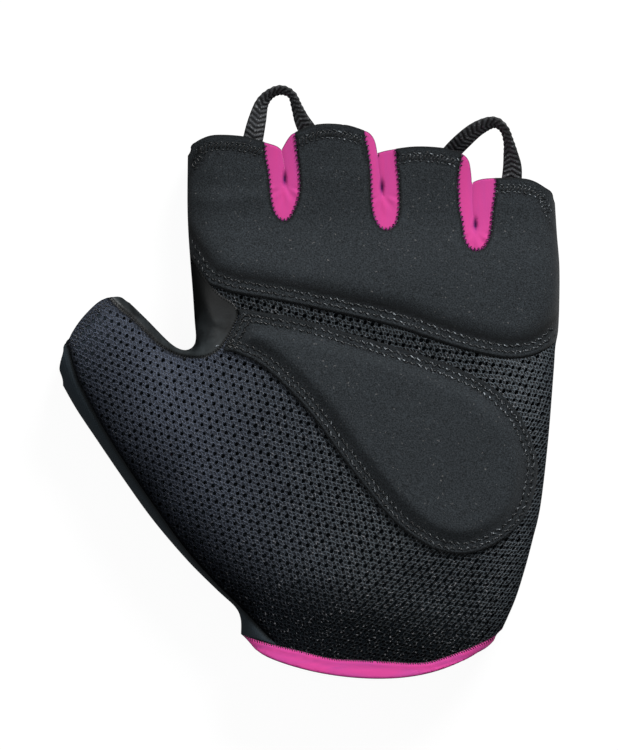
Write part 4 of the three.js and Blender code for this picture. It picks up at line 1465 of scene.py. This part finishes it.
class GLOVE_OT_finger_panel(PieceOperator, bpy.types.Operator):
    """Suede upper palm with its four finger fronts and the foam below the knuckles"""

    bl_idname = "glove.finger_panel"
    bl_label = "Finger Panel"

    def build(self, plan):
        # 1 on the stitch rows, where the suede gets its rough speckle and painted shade
        def band(p):
            hems = [near_rows(distance_to(rim, p), HEM_ROWS, 0.55) for rim in plan.finger_rims]
            return np.max([near_rows(distance_to(plan.knuckle, p), KNUCKLE_ROWS, 0.6), *hems], axis=0)

        obj = sheet(
            plan,
            "finger_panel_suede",
            lambda p: plan.glove(p) & plan.test("fingers", p) & ~plan.wraps(p),
            nothing,
            [plan.knuckle, plan.gusset, *plan.fourchettes.values()],
            grid=mm("grid"),
            radius=0.6,
            wall=mm("wall"),
            top_raise=lambda p: knuckle_raise(plan, p),
            paint=(("band", band), ("painted_flank_shade", lambda p: painted_flank_shade(distance_to(plan.knuckle, p), SWELL_RUN))),
        )
        dress(obj, "suede", "suede", "finger_panel")


class GLOVE_OT_heel_pad(PieceOperator, bpy.types.Operator):
    """Teardrop gel pad of suede, laid on the mesh"""

    bl_idname = "glove.heel_pad"
    bl_label = "Heel Pad"

    def build(self, plan):
        def shaded_flank(p):
            # Painted shade on the heel pad's flank, only on its lower left side, away from the key light
            shown = 0.85 * painted_flank_shade(distance_to(plan.pad, p), PAD_RUN)
            return shown * smooth(8, -30, p[:, 0] + 0.7 * p[:, 1])

        obj = sheet(
            plan,
            "heel_pad_suede",
            lambda p: plan.test("pad", p),
            nothing,
            [plan.pad],
            grid=mm("grid"),
            radius=0.65,
            wall=PAD_WALL,
            top_raise=lambda p: pad_raise(plan, p),
            paint=(
                ("band", lambda p: near_rows(distance_to(plan.pad, p), PAD_ROWS, 0.6)),
                ("painted_flank_shade", shaded_flank),
            ),
        )
        dress(obj, "suede", "suede", "heel_pad")


def tucked_under(plan, name, seam, side):
    """The far line, the palm side's region and the sinking of a piece that runs on past its seam"""

    def under(p):
        return distance_to(seam, p) * ~plan.test(name, p)

    def covers(p):
        return plan.glove(p) & (under(p) < TUCK)

    def sink(p):
        return -TUCK_DEPTH * smooth(0, 0.35, under(p))

    return seam + side * right_of(seam) * TUCK, covers, sink


class GLOVE_OT_thumb_gusset(PieceOperator, bpy.types.Operator):
    """Smooth leather in the crotch between thumb and index finger"""

    bl_idname = "glove.thumb_gusset"
    bl_label = "Thumb Gusset"

    def build(self, plan):
        tuck, covers, sink = tucked_under(plan, "gusset", plan.gusset, -1)

        def shade(p):
            line = bell(distance_to(plan.gusset, p), 0.45)
            deep = smooth(9, 21, p[:, 1]) * smooth(-38, -31, p[:, 0])
            return np.maximum(deep, line)

        obj = sheet(
            plan,
            "thumb_gusset_leather",
            covers,
            lambda p: plan.region("gusset", p),
            [plan.gusset, tuck],
            grid=0.8,
            radius=0.3,
            wall=mm("wall"),
            top_raise=sink,
            paint=(("groove", on_palm_side(plan)), ("shade", shade)),
        )
        dress(obj, "leather", "smooth_leather", "thumb_gusset")


class GLOVE_OT_fourchettes(PieceOperator, bpy.types.Operator):
    """Elastic side walls between neighbouring fingers"""

    bl_idname = "glove.fourchettes"
    bl_label = "Finger Sides"

    def build(self, plan):
        for name in SLOTS:
            self.make(plan, name)

    def make(self, plan, name):
        x, y = DIMPLES[name]
        seam = plan.fourchettes[name]
        tuck, covers, sink = tucked_under(plan, name, seam, 1)

        # Painted shade in the dimple and along the seam
        def dark(p):
            return np.maximum(dimple(p), 0.85 * bell(distance_to(seam, p), 0.2))

        def shade(p):
            valley = bell(distance_to(plan.slots[name], p), 0.7)
            right = smooth(-0.5, 2.5, p[:, 0] - x) * smooth(y - 8, y + 4, p[:, 1])
            return np.maximum(0.5 * valley * smooth(y - 6, y, p[:, 1]), 0.5 * right)

        obj = sheet(
            plan,
            f"fourchette_{name}_elastic",
            covers,
            lambda p: plan.region(name, p),
            [seam, tuck],
            grid=0.6,
            radius=0.3,
            wall=ELASTIC_WALL,
            top_raise=sink,
            paint=(("shade", shade), ("dimple", dark)),
        )
        dress(obj, "fourchette", "elastic_fabric", f"fourchette_{name}")


class GLOVE_OT_cuff_binding(PieceOperator, bpy.types.Operator):
    """Folded elastic round the wrist opening"""

    bl_idname = "glove.cuff_binding"
    bl_label = "Cuff Binding"

    def build(self, plan):
        def region(p):
            return plan.region("cuff", p)

        # Painted shade along the fold, over a slight dip
        def fold(p):
            return bell(distance_to(plan.cuff_seam, p) - 1.7, 0.35)

        obj = sheet(
            plan,
            "cuff_binding_elastic",
            region,
            region,
            [plan.cuff_seam],
            grid=0.8,
            radius=0.5,
            wall=BINDING_WALL,
            top_raise=lambda p: 0.35 - 0.15 * fold(p),
            paint=(("fold", fold),),
        )
        dress(obj, "binding", "elastic_binding", "cuff_binding")


class GLOVE_OT_pull_loops(PieceOperator, bpy.types.Operator):
    """Webbing loops sewn into the finger rims"""

    bl_idname = "glove.pull_loops"
    bl_label = "Pull Loops"

    def build(self, plan):
        for name, rows in LOOP_ROWS.items():
            obj = webbing_band(f"pull_loop_{name}_webbing", rows)
            dress(obj, "webbing", "webbing", f"pull_loop_{name}")


def webbing_band(name, rows):
    """A woven band along its rows, with slanting ribs that meet in its middle on both faces"""
    line = spline(np.array(rows) * (1, 1, 1, TURN_WEIGHT), 0.12)
    middle, turn = line[:, :3], np.radians(line[:, 3] / TURN_WEIGHT)
    along = np.gradient(middle, axis=0)
    along /= np.linalg.norm(along, axis=1)[:, None]
    up = np.array([0.0, 0.0, 1.0])
    outward = np.cross(up, along)
    outward /= np.linalg.norm(outward, axis=1)[:, None]
    wide = outward * np.cos(turn)[:, None] + up * np.sin(turn)[:, None]
    wide -= along * (wide * along).sum(1)[:, None]
    wide /= np.linalg.norm(wide, axis=1)[:, None]
    face = np.cross(wide, along)
    across = np.linspace(-1, 1, 21)
    gone = np.r_[0, np.cumsum(np.linalg.norm(np.diff(middle, axis=0), axis=1))]
    section = [(w, 1) for w in across] + [(w, -1) for w in across[::-1]]
    points, ribs = [], []
    for w, sign in section:
        rib = 0.5 + 0.5 * np.sin(2 * np.pi * (gone / RIB_PITCH + abs(w) * 0.9 * sign))
        edge = max(0.0, 1 - abs(w) ** 8)
        height = sign * (LOOP_THICK / 2 * (0.5 + 0.5 * edge) + 0.24 * rib * edge - 0.1)
        points.append(middle + wide * w * LOOP_WIDTH / 2 + face * height[:, None])
        ribs.append(rib * (0.3 + 0.7 * edge))
    points = np.array(points).transpose(1, 0, 2)
    count, around = points.shape[:2]
    faces = tube_faces(0, count, around)
    flat = points.reshape(-1, 3)
    flat[:, 2] += lift(flat[:, 0], flat[:, 1])
    obj = new_object(name, flat, faces)
    store(obj.data, "rib", np.array(ribs).T.ravel())
    select_only(obj)
    bpy.ops.object.mode_set(mode="EDIT")
    bpy.ops.mesh.select_all(action="SELECT")
    bpy.ops.mesh.normals_make_consistent(inside=False)
    bpy.ops.object.mode_set(mode="OBJECT")
    bpy.ops.object.shade_smooth_by_angle(angle=math.radians(60))
    return obj


class GLOVE_OT_stitching(PieceOperator, bpy.types.Operator):
    """Every visible row of stitches"""

    bl_idname = "glove.stitching"
    bl_label = "Stitching"

    def build(self, plan):
        bpy.context.view_layer.update()
        pinks = [f"fourchette_{name}_elastic" for name in SLOTS]
        panel = surface_of("finger_panel_suede")
        pad = surface_of("heel_pad_suede")
        around = ("thumb_gusset_leather", "cuff_binding_elastic", "back_panel_knit")
        palm = surface_of("palm_mesh_fabric", *around)
        sides = surface_of("finger_panel_suede", *pinks)

        def inland(p):
            return from_lines(plan.walls, p) > 0.8

        def on_panel(p):
            return plan.glove(p) & plan.test("fingers", p) & ~plan.wraps(p) & inland(p)

        def on_pad(p):
            return plan.test("pad", p)

        left = [-away for away in KNUCKLE_ROWS]
        seam = rows_of_stitches(panel, plan.knuckle, left, on_panel, SEAM_STITCH)
        self.finish("knuckle_stitches", seam)
        # Painted shadow: dark threads in the gaps between the stitches
        shadows = rows_of_stitches(panel, plan.knuckle, left, on_panel, STITCH_SHADOW)
        shadows += rows_of_stitches(pad, plan.pad, PAD_ROWS, on_pad, STITCH_SHADOW)
        self.finish("stitch_shadows", shadows)
        hems, ropes = [], []
        for rim in plan.finger_rims:
            hems += rows_of_stitches(panel, rim, HEM_ROWS, on_panel, HEM_STITCH, HEM_BARE)
            middle = (rim + right_of(rim) * sum(HEM_ROWS) / 2)[HEM_BARE:-HEM_BARE]
            ropes += crossing_stitches(panel, middle, on_panel, **HEM_ROPE)
        self.finish("hem_stitches", hems)
        self.finish("hem_cover_stitches", ropes)
        rows = rows_of_stitches(pad, plan.pad, PAD_ROWS, on_pad, SEAM_STITCH)
        self.finish("pad_stitches", rows)
        edges = []
        for line in plan.fourchettes.values():
            edges += crossing_stitches(sides, line, plan.glove, **SIDE_OVERLOCK)
        self.finish("finger_side_overlock", edges)
        cuff = crossing_stitches(palm, plan.cuff_seam, plan.glove, **CUFF_OVERLOCK)
        self.finish("cuff_overlock", cuff)
        gusset = crossing_stitches(palm, plan.gusset, plan.glove, **GUSSET_OVERLOCK)
        self.finish("gusset_overlock", gusset)
        hem = rows_of_stitches(palm, plan.thumb_rim, THUMB_HEM_ROWS, mesh_region, THUMB_STITCH)
        self.finish("thumb_hem_stitches", hem)
        end = sewn(palm, *[np.array(place) for place in THREAD_END])
        self.finish("gusset_thread_end", end)

    def finish(self, name, ends):
        radius, thread, slot = THREADS[name]
        obj = stitch_mesh(name, ends, radius, radius * 0.9)
        x, y, _ = coordinates(obj.data).T
        # Painted light on the threads: darker to the left and towards the wrist
        store(obj.data, "light", (0.15 + 0.85 * smooth(-20, 28, x)) * (1 - 0.45 * smooth(-8, -30, y)))
        dress(obj, thread, slot)


class GLOVE_PT_pieces(bpy.types.Panel):
    """Sizes, colours and one button for each piece"""

    bl_idname = "GLOVE_PT_pieces"
    bl_label = "Cycling Glove"
    bl_space_type = "VIEW_3D"
    bl_region_type = "UI"
    bl_category = "Glove"

    def draw(self, context):
        for group in (context.scene.glove_sizes, context.scene.glove_colours):
            for name in group.bl_rna.properties.keys():
                if name not in ("rna_type", "name"):
                    self.layout.prop(group, name)
        for operator in OPERATORS:
            self.layout.operator(operator.bl_idname)


OPERATORS = (
    GLOVE_OT_stage,
    GLOVE_OT_back_panel,
    GLOVE_OT_palm_mesh,
    GLOVE_OT_finger_panel,
    GLOVE_OT_heel_pad,
    GLOVE_OT_thumb_gusset,
    GLOVE_OT_fourchettes,
    GLOVE_OT_cuff_binding,
    GLOVE_OT_pull_loops,
    GLOVE_OT_stitching,
)
CLASSES = (GloveSizes, GloveColours, *OPERATORS, GLOVE_PT_pieces)


def register():
    for cls in CLASSES:
        bpy.utils.register_class(cls)
    bpy.types.Scene.glove_sizes = bpy.props.PointerProperty(type=GloveSizes)
    bpy.types.Scene.glove_colours = bpy.props.PointerProperty(type=GloveColours)


def unregister():
    del bpy.types.Scene.glove_sizes
    del bpy.types.Scene.glove_colours
    for cls in reversed(CLASSES):
        bpy.utils.unregister_class(cls)


def main():
    register()
    bpy.ops.glove.stage()
    bpy.ops.glove.back_panel()
    bpy.ops.glove.palm_mesh()
    bpy.ops.glove.finger_panel()
    bpy.ops.glove.heel_pad()
    bpy.ops.glove.thumb_gusset()
    bpy.ops.glove.fourchettes()
    bpy.ops.glove.cuff_binding()
    bpy.ops.glove.pull_loops()
    bpy.ops.glove.stitching()


if __name__ == "__main__":
    main()
